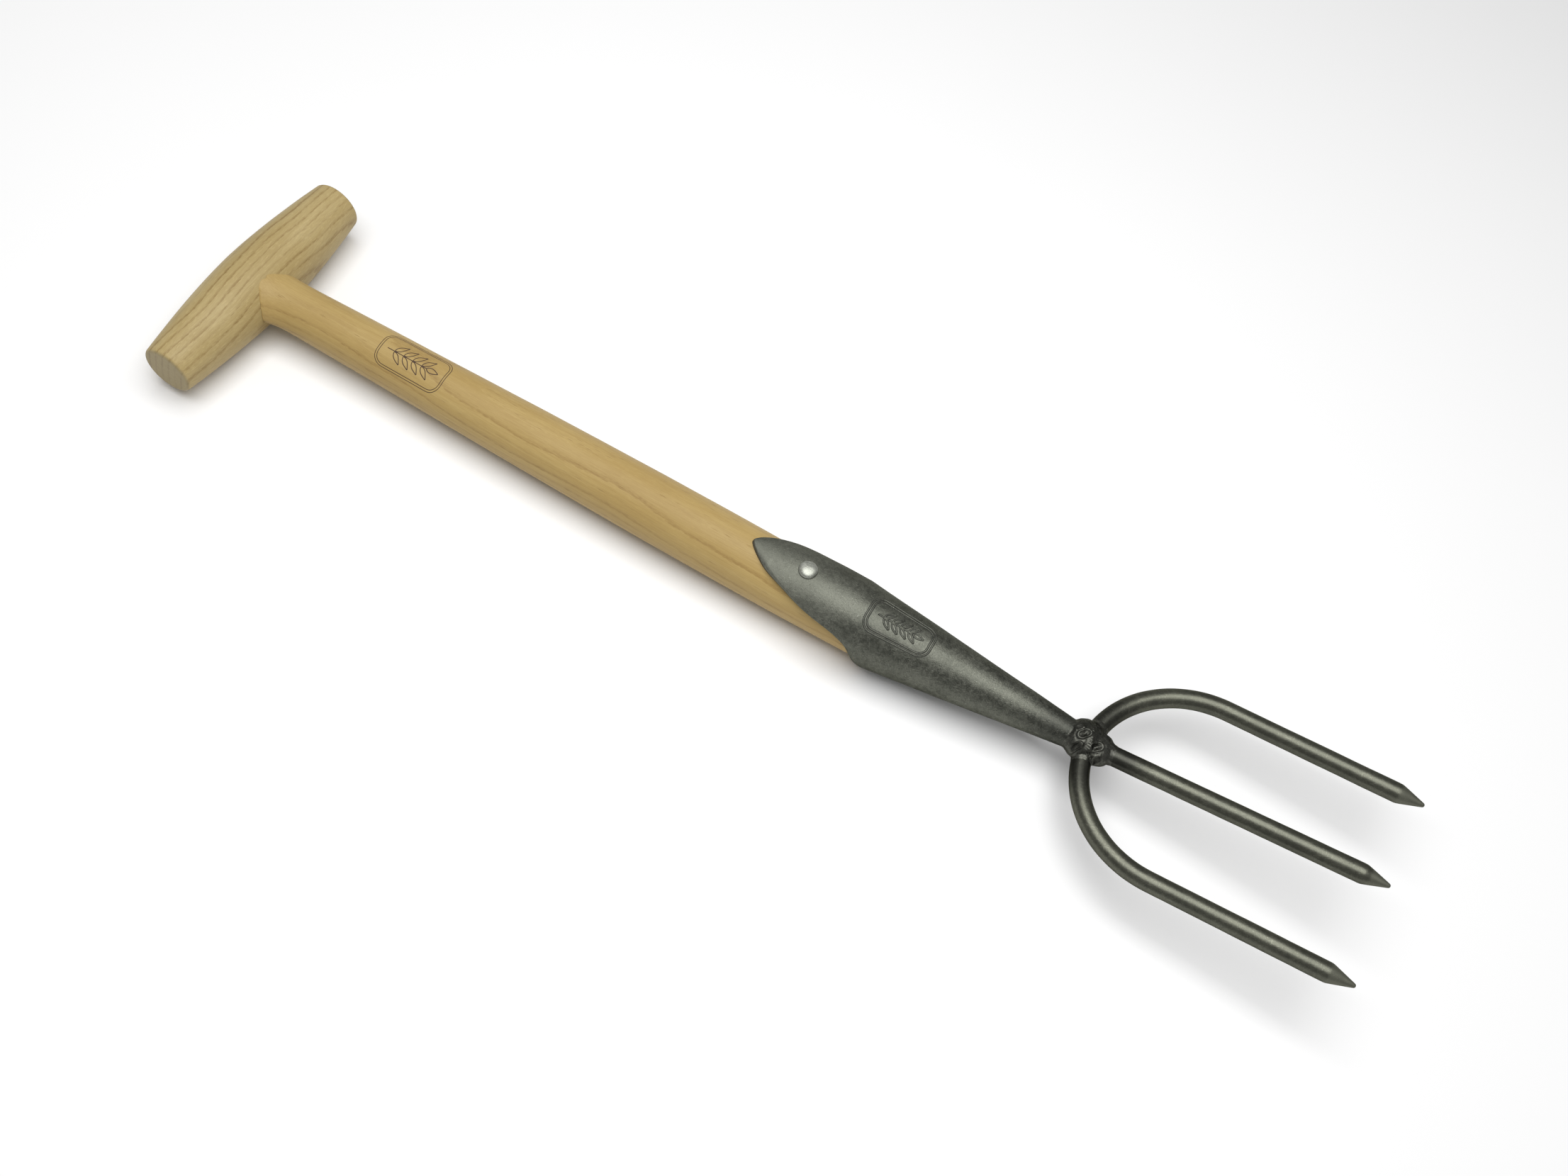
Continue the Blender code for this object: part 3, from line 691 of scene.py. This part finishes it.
def make_shaft():
    """Its upper end is scribed to the grip's barrel; its lower end tapers inside the socket."""
    cols = 180
    angle = circle(cols)
    angle = np.where(angle > math.pi, angle - 2.0 * math.pi, angle)
    side, top = np.sin(angle), np.cos(angle)
    # find where each side of the shaft runs into the barrel
    start = np.full(cols, 0.015)
    for _ in range(12):
        at = shaft_surface(start, angle)
        inside = np.clip(at[:, 2], -0.0199, 0.0199)
        start = 0.5 * start + 0.5 * barrel_x(at[:, 1], inside)
    # a bruised notch on top and a slightly ragged saw line
    bite = np.exp(-((np.degrees(angle) + 9.0) / 5.0) ** 2)
    round_path = [Vector((math.cos(t) * 9.0, math.sin(t) * 9.0, 4.0)) for t in angle]
    ragged = np.array([noise.noise(place) for place in round_path])
    start = start + 0.0013 * bite + 0.00022 * ragged
    rings = []
    lip = shaft_surface(start, angle)
    for ahead, inset in ((0.0, 0.0030), (0.0, 0.0006), (0.00004, 0.00022), (0.00022, 0.00006)):
        rings.append(lip + np.stack([np.full(cols, ahead), -inset * side, -inset * top], axis=-1))
    for k in range(1, 51):
        t = (k / 50.0) ** 1.25
        rings.append(shaft_surface((start + 0.0005) * (1.0 - t) + SHAFT_FINE_X * t, angle))
    for x in np.linspace(SHAFT_FINE_X, SHAFT_TAPER_X, 190)[1:]:
        rings.append(shaft_surface(np.full(cols, x), angle))
    for x in np.linspace(SHAFT_TAPER_X, SHAFT_END, 60)[1:]:
        r = min(float(shaft_radius(x)), float(socket_inner(x)) - SHAFT_GAP)
        z = float(cone_axis_z(x))
        rings.append(np.stack([np.full(cols, x), r * side, z + r * top], axis=-1))
    rings = np.array(rings)
    shaft = closed_rings("shaft_wood", rings[:, ::-1], SHAFT_WOOD)
    t = circle(64)
    r = WASHER_R + WASHER_GAP
    seat = np.array([
        np.stack([RIVET_X + r * np.cos(t), r * np.sin(t), np.full_like(t, z)], axis=-1)
        for z in (-WASHER_SEAT, -CLEAR_OF_WOOD)])
    cut(shaft, closed_rings("seat_tool", seat, SHAFT_WOOD))
    put(shaft, "shaft_wood", "shaft")


# ---------------- socket
def socket_point(x, angle, r):
    """A point at some radius from the socket's axis; angle runs from the top."""
    return np.stack([x, r * np.sin(angle), cone_axis_z(x) + r * np.cos(angle)], axis=-1)


def plate_thinning(from_edge):
    """How much of its full thickness the plate has at some distance from its rim."""
    return 1.0 - (1.0 - np.clip(from_edge / EDGE_FADE, 0.0, 1.0)) ** 2


def rim_x(angle):
    """Where the plate starts along X; the strap's tip was cut a little off to one side."""
    turned = np.degrees(angle)
    turned = turned - STRAP_SKEW * (1.0 - ease((np.abs(turned) - SKEW_FULL) / SKEW_FADE))
    return smooth_through(STRAP_OUTLINE, np.abs(turned))


def outer_radius(x, angle):
    """Outer radius with the plate thinned towards its rim."""
    inner = socket_inner(x)
    start = rim_x(angle)
    full = socket_outer(x) - inner
    thin = EDGE_PLATE + (full - EDGE_PLATE) * plate_thinning(x - start)
    from_rim = np.clip((x - start) / RIM_ROUND_LENGTH, 0.0, 1.0)
    round_off = RIM_ROUND * (1.0 - from_rim) ** 2
    return inner + np.minimum(thin, full) - round_off


def forging(x, angle, r):
    """How far the forged surface swells or sinks at a point."""
    points = socket_point(x, angle, r)
    swells = wander(points, scale=0.016, seed=11) * 0.00013
    return swells + wander(points, scale=0.005, seed=12) * 0.00003


def make_socket():
    """A rolled plate: columns run round the shaft, rows from the rim to the neck."""
    cols, rows = 241, 230
    widest = math.pi - SEAM_HALF
    angles = np.linspace(-widest, widest, cols)
    start = rim_x(angles)
    share = np.concatenate([[0.0, 0.0012, 0.0028, 0.005], np.linspace(0.008, 1.0, rows - 4)])

    def sheet(last, inner):
        x = start[None, :] + share[:, None] * (last - start[None, :])
        angle = np.repeat(angles[None, :], rows, axis=0)
        if inner:
            return socket_point(x, angle, socket_inner(x))
        r = outer_radius(x, angle)
        return socket_point(x, angle, r + forging(x, angle, r))

    outer, bore = sheet(NECK_X, False), sheet(BORE_END, True)
    middles = [(x, 0.0, float(cone_axis_z(x))) for x in (BORE_END, NECK_X)]
    verts = np.vstack([outer.reshape(-1, 3), bore.reshape(-1, 3), middles])
    count = rows * cols
    bore_end, neck_end = 2 * count, 2 * count + 1
    last_row = (rows - 1) * cols
    faces = grid_faces(rows, cols, False, flip=True)
    faces += grid_faces(rows, cols, False, start=count)
    for c in range(cols - 1):
        # the rim, then the closed ends of the bore and of the neck
        faces.append((count + c, count + c + 1, c + 1, c))
        a, b = last_row + c, last_row + c + 1
        faces.append((count + a, count + b, bore_end))
        faces.append((b, a, neck_end))
    for r in range(rows - 1):
        # the two edges of the seam
        a, b = r * cols, (r + 1) * cols
        faces.append((a, b, count + b, count + a))
        a, b = a + cols - 1, b + cols - 1
        faces.append((a, count + a, count + b, b))
    a, b = last_row, last_row + cols - 1
    faces.append((a, neck_end, bore_end, count + a))
    faces.append((b, count + b, bore_end, neck_end))
    socket = make_mesh("socket_shell", verts, faces, SOCKET_STEEL, sharp=50.0)
    put(socket, "socket_steel", "socket")


# ---------------- marks
def rounded_box(half_u, half_v, corner):
    """Closed outline of a box with rounded corners, anticlockwise."""
    points = []
    for cu, cv, first in ((1, 1, 0.0), (-1, 1, 90.0), (-1, -1, 180.0), (1, -1, 270.0)):
        for k in range(9):
            a = math.radians(first + 11.25 * k)
            points.append((cu * (half_u - corner) + corner * math.cos(a),
                           cv * (half_v - corner) + corner * math.sin(a)))
    return resample(points, 0.0007, True)


def resample(points, step, closed):
    """Points about a step apart along an outline."""
    points = np.array(points)
    if closed:
        points = np.vstack([points, points[:1]])
    run = np.concatenate([[0.0], np.cumsum(np.linalg.norm(np.diff(points, axis=0), axis=1))])
    count = max(int(run[-1] / step), 4)
    at = np.linspace(0.0, run[-1], count + 1)[: -1 if closed else None]
    return np.stack([np.interp(at, run, points[:, 0]), np.interp(at, run, points[:, 1])], axis=1)


def leaf(u, v, length, width, lean):
    """Closed outline of a leaf that starts at (u, v) and points along lean degrees."""
    t = np.linspace(0.0, 1.0, 14)
    belly = width * np.sin(math.pi * t**0.8) * (1.0 - 0.25 * t)
    along = np.concatenate([t, t[-2:0:-1]]) * length
    across = np.concatenate([belly, -belly[-2:0:-1]]) / 2.0
    c, s = math.cos(math.radians(lean)), math.sin(math.radians(lean))
    outline = np.stack([u + along * c - across * s, v + along * s + across * c], axis=1)
    return resample(outline, 0.0005, True)


def sprig(size):
    """A plain plant sprig: stem, pairs of leaves and one at the end; size is its half length."""
    strokes = [(resample([(-size, 0.0), (size * 0.55, 0.0)], 0.0008, False), False)]
    for k in range(4):
        u = -size * 0.72 + k * size * 0.36
        for way in (1, -1):
            strokes.append((leaf(u, way * 0.0003, size * 0.50, size * 0.17, way * 42.0), True))
    strokes.append((leaf(size * 0.55, 0.0, size * 0.46, size * 0.20, 0.0), True))
    return strokes


def ridge(points, closed, width, height, sunk, surface):
    """A rounded bead along a line on a surface; surface maps (u, v, height) to a point."""
    ahead = np.roll(points, -1, axis=0) - np.roll(points, 1, axis=0)
    if not closed:
        ahead[0], ahead[-1] = points[1] - points[0], points[-1] - points[-2]
    ahead /= np.maximum(np.linalg.norm(ahead, axis=1, keepdims=True), 1e-9)
    across = np.stack([-ahead[:, 1], ahead[:, 0]], axis=1)
    profile = ((-1.0, -sunk), (-0.72, 0.55 * height), (-0.3, 0.95 * height), (0.3, 0.95 * height),
               (0.72, 0.55 * height), (1.0, -sunk))
    rings = []
    for share, lift in profile:
        at = points + across * (share * width / 2.0)
        rings.append(surface(at[:, 0], at[:, 1], lift))
    return np.stack(rings, axis=1), closed


def join_ridges(name, strips, mat):
    """One mesh out of many strips; each is closed on itself or at its two ends."""
    verts, faces, base = [], [], 0
    for rings, closed in strips:
        rows, cols, _ = rings.shape
        verts.append(rings.reshape(-1, 3))
        faces += grid_faces(rows, cols, True, start=base)
        end = base + (rows - 1) * cols
        if closed:
            for c in range(cols):
                n = (c + 1) % cols
                faces.append((end + c, end + n, base + n, base + c))
        else:
            faces.append(tuple(base + c for c in reversed(range(cols))))
            faces.append(tuple(end + c for c in range(cols)))
        base += rows * cols
    return make_mesh(name, np.vstack(verts), faces, mat, sharp=180.0)


def on_socket(u, v, lift):
    """Wraps a flat mark on the socket: u along it, v round it, lift above its surface."""
    x = SOCKET_MARK_X + u
    angle = v / SOCKET_MARK_R + SOCKET_MARK_TURN
    r = outer_radius(x, angle)
    return socket_point(x, angle, r + forging(x, angle, r) + lift)


def on_shaft(u, v, lift):
    """Wraps a flat mark on the shaft in the same way."""
    angle = v / SHAFT_MARK_R + SHAFT_MARK_TURN
    return shaft_surface(SHAFT_MARK_X + u, angle, lift)


def draw_mark(borders, leaves, border_size, leaf_size, sunk, surface):
    """Ridges along a mark's borders and leaves; each size is a ridge's width and height."""
    strips = [ridge(points, True, *border_size, sunk, surface) for points in borders]
    return strips + [ridge(points, closed, *leaf_size, sunk, surface) for points, closed in leaves]


def make_marks():
    """A plain framed sprig, raised on the socket with painted shade along the feet of its ridges, and
    branded on the shaft.
    """
    borders = (rounded_box(0.0180, 0.0096, 0.0060), rounded_box(0.0164, 0.0080, 0.0046))
    leaves = sprig(0.0128)
    raised = draw_mark(borders, leaves, (0.00085, 0.00028), (0.00080, 0.00030), 0.0002, on_socket)
    put(join_ridges("socket_mark", raised, SOCKET_STEEL), "socket_steel", "socket")
    # wider, flat, near-black strips along the raised lines: painted shade at the feet of the ridges
    shade = draw_mark(borders, leaves, (0.00150, 0.00004), (0.00140, 0.00004), 0.0002, on_socket)
    put(join_ridges("socket_mark_shade", shade, RIDGE_FOOT_SHADE), "socket_steel", "socket")
    borders = (rounded_box(0.0205, 0.0103, 0.0064), rounded_box(0.0193, 0.0091, 0.0052))
    leaves = sprig(0.0158)
    burnt = draw_mark(borders, leaves, (0.00050, 0.00004), (0.00062, 0.00004), 0.00025, on_shaft)
    put(join_ridges("shaft_mark", burnt, BURNT), "shaft_wood", "shaft")


def make_rim_shade_line():
    """A thin dark line on the wood, all along the plate's rim: painted shade where the gap under the rim
    falls in shadow.
    """
    angle = np.radians(np.linspace(-128.0, 128.0, 640))
    rim = rim_x(angle)
    r = shaft_radius(rim)
    step_x, step_s = np.gradient(rim), np.gradient(angle) * r
    length = np.hypot(step_x, step_s)
    rings = []
    section = ((0.00042, -0.0002), (0.00034, 0.00004), (-0.0007, 0.00004), (-0.0007, -0.0002))
    for ahead, lift in section:
        x = rim - step_s / length * ahead
        turn = angle + step_x / length * ahead / r
        rings.append(shaft_surface(x, turn, lift))
    strip = (np.stack(rings, axis=1), False)
    put(join_ridges("rim_shade_line", [strip], RIM_GAP_SHADE), "shaft_wood", "shaft")


# ---------------- rivet
def make_rivet():
    """A rivet with a hammered domed head and a closed tail, from the head down."""
    seat = float(socket_outer(np.array(RIVET_X)))
    profile = [(0.0002, seat + RIVET_HEAD_H)]
    for k in range(1, 19):
        a = math.radians(5.0 * k)
        reach, rise = math.sin(a) ** 0.92, math.cos(a) ** 0.85
        profile.append((RIVET_HEAD_R * reach, seat + RIVET_HEAD_H * rise))
    profile += [(RIVET_HEAD_R * 0.985, seat - 0.0003), (RIVET_HEAD_R * 0.95, seat - 0.0012)]
    profile += [(RIVET_R, seat - 0.0014), (RIVET_R, 0.0), (RIVET_R, -WASHER_SEAT)]
    tail = -(WASHER_SEAT + WASHER_T)
    profile += [(RIVET_R, tail), (RIVET_TAIL_R, tail - 0.0001)]
    for k in range(1, 12):
        a = math.radians(90.0 - 8.0 * k)
        profile.append((RIVET_TAIL_R * math.sin(a), tail - RIVET_TAIL_H * math.cos(a)))
    a = circle(72)
    rings = np.array([
        np.stack([RIVET_X + r * np.cos(a), RIVET_Y + r * np.sin(a), np.full_like(a, h)], axis=-1)
        for r, h in profile])
    rings[..., 2] += wander(rings, scale=0.0032, seed=21) * 0.00012
    rivet = closed_rings("rivet_body", rings[:, ::-1], RIVET_METAL)
    put(rivet, "rivet_metal", "rivet")


def make_washer():
    """A flat ring with eased outer edges."""
    hole = RIVET_R + WASHER_GAP
    high, low = -WASHER_SEAT - 0.0001, -WASHER_SEAT - WASHER_T
    flat = WASHER_R - WASHER_EDGE
    section = ((hole, high), (flat, high), (WASHER_R, high - WASHER_EDGE),
               (WASHER_R, low + WASHER_EDGE), (flat, low), (hole, low))
    turns, sides = 72, len(section)
    verts = [(RIVET_X + r * math.cos(a), r * math.sin(a), h) for a in circle(turns) for r, h in section]
    faces = grid_faces(turns, sides, True, flip=True)
    end = (turns - 1) * sides
    for c in range(sides):
        n = (c + 1) % sides
        faces.append((c, n, end + n, end + c))
    washer = make_mesh("rivet_burr", verts, faces, RIVET_METAL, 30.0)
    put(washer, "rivet_metal", "rivet_washer")


# ---------------- tines
def spokes(line, cols):
    """Unit vectors out of a line all round it, for each of its points."""
    ahead = np.gradient(line, axis=0)
    ahead /= np.linalg.norm(ahead, axis=1, keepdims=True)
    side = np.cross((0.0, 0.0, 1.0), ahead)
    side /= np.linalg.norm(side, axis=1, keepdims=True)
    up = np.cross(ahead, side)
    a = circle(cols)
    return side[:, None, :] * np.cos(a)[None, :, None] + up[:, None, :] * np.sin(a)[None, :, None]


def on_crown(turn):
    """The outer bar's axis in its bend; turn is 0 at the crown and a right angle at each tine."""
    x = CROWN_X + BEND_X * (1.0 - np.cos(turn))
    return np.stack([x, BEND_Y * np.sin(turn), CROWN_Z + OUTER_SLOPE * (x - CROWN_X)], axis=-1)


def bar(name, line, radii, seed):
    """A round bar along a line, with a slight hand-worked waviness."""
    out = spokes(line, 56)
    radii = radii[:, None, None]
    rings = line[:, None, :] + out * radii
    wave = wander(rings, scale=0.011, seed=seed) * 0.00006
    wave = wave + wander(rings, scale=0.003, seed=seed + 1) * 0.00002
    rings = rings + out * (wave * np.clip(radii[..., 0] / BAR_R, 0.0, 1.0))[..., None]
    return closed_rings(name, rings[:, ::-1], BAR_STEEL)


def pointed(tip, back, steps):
    """From a blunt tip back to full thickness at another point: places and radii."""
    tip, back = np.array(tip), np.array(back)
    length = np.linalg.norm(back - tip)
    nose = POINT_R * (1.0 - np.cos(np.linspace(0.12, 1.25, 9)))
    reach = np.concatenate([nose, np.linspace(nose[-1], POINT_LENGTH + 0.002, 26)[1:],
                            np.linspace(POINT_LENGTH + 0.002, length, steps)[1:]])
    ball = np.sqrt(np.maximum(POINT_R**2 - np.maximum(POINT_R - reach, 0.0) ** 2, 0.0))
    slope = (BAR_R - POINT_R) / (POINT_LENGTH - POINT_R * 0.7)
    cone = POINT_R * 0.95 + slope * np.maximum(reach - POINT_R * 0.7, 0.0)
    shoulder = soft_min(cone, BAR_R, POINT_FOLD) + POINT_FOLD * 0.2
    radii = np.where(reach < POINT_R * 0.7, ball, np.minimum(shoulder, BAR_R))
    places = tip + (back - tip) / length * reach[:, None]
    return places, radii


def make_tines():
    """Both outer tines are one bent bar; the middle one starts inside the weld."""
    arc = on_crown(np.radians(np.linspace(-90.0, 90.0, 121)))
    tip_z = CROWN_Z + OUTER_SLOPE * (OUTER_TIP_X - CROWN_X)
    first, first_r = pointed((OUTER_TIP_X, -TINE_TIP_Y, tip_z), arc[0], 70)
    last, last_r = pointed((OUTER_TIP_X, TINE_TIP_Y, tip_z), arc[-1], 70)
    line = np.vstack([first[:-1], arc, last[-2::-1]])
    radii = np.concatenate([first_r[:-1], np.full(len(arc), BAR_R), last_r[-2::-1]])
    put(bar("bent_bar", line, radii, 31), "tine_steel", "outer_tines")
    foot_x = CROWN_X + BAR_R * 0.5
    foot = (foot_x, 0.0, CENTRE_ROOT_Z + CENTRE_SLOPE * (foot_x - CROWN_X))
    tip = (CENTRE_TIP_X, 0.0, CENTRE_ROOT_Z + CENTRE_SLOPE * (CENTRE_TIP_X - CROWN_X))
    line, radii = pointed(tip, foot, 110)
    put(bar("middle_bar", line, radii, 41), "tine_steel", "centre_tine")


# ---------------- weld
def weld_capsule(line, radii):
    rings = line[:, None] + spokes(line, WELD_COLS) * radii[:, None, None]
    return closed_rings("weld_part", rings[:, ::-1], WELD_METAL)


def weld_lump(centre, reach):
    a = circle(WELD_COLS)
    tilt = np.linspace(0.05, math.pi - 0.05, 24)
    rings = np.stack([
        centre[0] + reach[0] * np.sin(tilt)[:, None] * np.cos(a)[None, :],
        centre[1] + reach[1] * np.sin(tilt)[:, None] * np.sin(a)[None, :],
        centre[2] + reach[2] * np.repeat(np.cos(tilt)[:, None], WELD_COLS, axis=1)], axis=-1)
    return closed_rings("weld_part", rings[:, ::-1], WELD_METAL)


def weld_parts():
    """Swollen stretches of both bars and the neck, which thin out at their ends, and lumps."""
    crown = on_crown(np.radians(np.linspace(-17.0, 17.0, 25)))
    fade = 1.0 - (np.abs(np.linspace(-1.0, 1.0, 25))) ** 3
    parts = [weld_capsule(crown, BAR_R - 0.0009 + 0.0017 * fade)]
    length = 0.0175
    reach = np.linspace(-0.002, length, 20)
    tine = np.array([(CROWN_X + d, 0.0, CENTRE_ROOT_Z + CENTRE_SLOPE * d) for d in reach])
    fade = 1.0 - (np.clip(reach, 0.0, 1.0) / length) ** 3
    parts.append(weld_capsule(tine, BAR_R - 0.0009 + 0.0020 * fade))
    xs = np.linspace(NECK_X - 0.0090, NECK_X + 0.0020, 14)
    neck = np.array([(x, 0.0, float(cone_axis_z(x))) for x in xs])
    fade = 1.0 - np.linspace(1.0, 0.0, 14) ** 3
    parts.append(weld_capsule(neck, socket_outer(xs) - 0.0008 + 0.0012 * fade))
    return parts + [weld_lump(centre, reach) for centre, reach in WELD_LUMPS]


def join_parts(name, parts, mat):
    """One mesh out of several objects, which are dropped."""
    verts, faces, base = [], [], 0
    for part in parts:
        co = np.zeros(len(part.data.vertices) * 3)
        part.data.vertices.foreach_get("co", co)
        verts.append(co.reshape(-1, 3) - np.array(HOME))
        faces += [tuple(base + v for v in p.vertices) for p in part.data.polygons]
        base += len(part.data.vertices)
        bpy.data.objects.remove(part, do_unlink=True)
    return make_mesh(name, np.vstack(verts), faces, mat)


def make_weld():
    """One bead that runs round the joint: bars and neck slightly swollen, fused and smoothed."""
    weld = join_parts("weld_bead", weld_parts(), WELD_METAL)
    mod = weld.modifiers.new("fuse", "REMESH")
    mod.mode = "VOXEL"
    mod.voxel_size = WELD_VOXEL
    mod.use_smooth_shade = True
    mod = weld.modifiers.new("fillet", "SMOOTH")
    mod.factor = 0.5
    mod.iterations = 20
    apply_modifiers(weld)
    shape_weld(weld.data)
    put(weld, "weld_metal", "front_weld", "back_weld")


def shape_weld(mesh):
    """Ripples, craters and curls left in the bead as it froze."""
    count = len(mesh.vertices)
    co, no = np.zeros(count * 3), np.zeros(count * 3)
    mesh.vertices.foreach_get("co", co)
    mesh.vertices.foreach_get("normal", no)
    co, no = co.reshape(-1, 3), no.reshape(-1, 3)
    p = co - np.array(HOME)
    flat = p - np.array([CROWN_X, 0.0, CROWN_Z])
    core = np.clip(1.20 - np.linalg.norm(flat / (0.0140, 0.0115, 0.0130), axis=1), 0.0, 1.0)
    core = ease(core * 2.0)
    folded = 1.0 - np.abs(wander(p, scale=0.0040, seed=51)) * 2.0
    fine = wander(p, scale=0.0012, seed=52)
    lift = 0.00034 * (folded - 0.6) + 0.00011 * fine
    front = flat[:, 2] > WELD_FRONT
    for x, y, reach, depth, rim in WELD_CRATERS:
        squash = 1.0 + 0.28 * np.sin(2.0 * np.arctan2(flat[:, 1] - y, flat[:, 0] - x) + 40.0 * x)
        away = np.hypot(flat[:, 0] - x, flat[:, 1] - y) / (reach * squash)
        dish = -np.exp(-(away / 0.62) ** 2) + rim * np.exp(-((away - 1.05) / 0.24) ** 2)
        lift = lift + np.where(front, depth * dish, 0.0)
    # a ridge with fine ribs runs from the middle towards one side bar
    along = flat[:, 0] + 0.25 * flat[:, 1]
    spine = np.exp(-((along + 0.0004) / 0.0011) ** 2) * ease((0.0045 - flat[:, 1]) / 0.0015)
    ribs = 1.0 + 0.35 * np.cos(2.0 * math.pi * flat[:, 1] / 0.0011)
    lift = lift + np.where(front, 0.00045 * spine * ribs, 0.0)
    # stacked ripples on the back
    ripple = np.cos(2.0 * math.pi * (np.abs(flat[:, 1]) + 0.35 * flat[:, 0]) / 0.0021)
    lift = lift + np.where(front, 0.0, 0.00013 * ripple)
    co = co + no * (lift * core)[:, None]
    mesh.vertices.foreach_set("co", co.ravel())
    mesh.update()
    mesh.shade_smooth()


# ---------------- stage, light and camera
def make_stage():
    """A plain pale floor just under the fork."""
    s = Shader("stage_white")
    grain = s.noise(s.place(), scale=3.0, detail=1.0)
    tone = s.blend(grain, color((0.90, 0.90, 0.90)), color((0.92, 0.92, 0.92)))
    s.set(s.bsdf.inputs["Base Color"], tone)
    s.bsdf.inputs["Roughness"].default_value = 0.9
    s.bsdf.inputs["Specular IOR Level"].default_value = 0.1
    corners = [(u * FLOOR_HALF, v * FLOOR_HALF, 0) for u, v in ((-1, -1), (1, -1), (1, 1), (-1, 1))]
    mesh = bpy.data.meshes.new("floor")
    mesh.from_pydata(corners, [], [(0, 1, 2, 3)])
    mesh.materials.append(s.mat)
    floor = bpy.data.objects.new("floor", mesh)
    floor.location.z = cad_low.z - FLOOR_GAP
    bpy.context.scene.collection.objects.link(floor)


def make_light():
    """One wide soft light overhead, and an even white world."""
    world = bpy.data.worlds.new("studio")
    world.use_nodes = True
    back = world.node_tree.nodes["Background"]
    back.inputs["Color"].default_value = (1.0, 1.0, 1.0, 1.0)
    back.inputs["Strength"].default_value = WORLD_STRENGTH
    bpy.context.scene.world = world
    light = bpy.data.lights.new("key", "AREA")
    light.shape = "RECTANGLE"
    light.size, light.size_y = KEY_SIZE
    light.energy = KEY_POWER
    key = bpy.data.objects.new("key", light)
    key.location = KEY_PLACE
    key.rotation_euler = Vector((0.0, 0.0, -1.0)).to_track_quat("-Z", "Y").to_euler()
    bpy.context.scene.collection.objects.link(key)


def make_camera():
    """Looks down at the fork from the tine end's near side."""
    data = bpy.data.cameras.new("camera")
    data.sensor_width = 36.0
    data.lens = CAMERA_LENS
    cam = bpy.data.objects.new("camera", data)
    cam.location = Vector(CAMERA_PLACE) + HOME
    cam.rotation_euler = Euler([math.radians(d) for d in CAMERA_TURN])
    bpy.context.scene.collection.objects.link(cam)
    bpy.context.scene.camera = cam


make_camera()
make_light()
make_stage()
make_grip()
make_tenon()
make_shaft()
make_socket()
make_marks()
make_rim_shade_line()
make_rivet()
make_washer()
make_tines()
make_weld()
bpy.context.scene.view_settings.view_transform = "Standard"
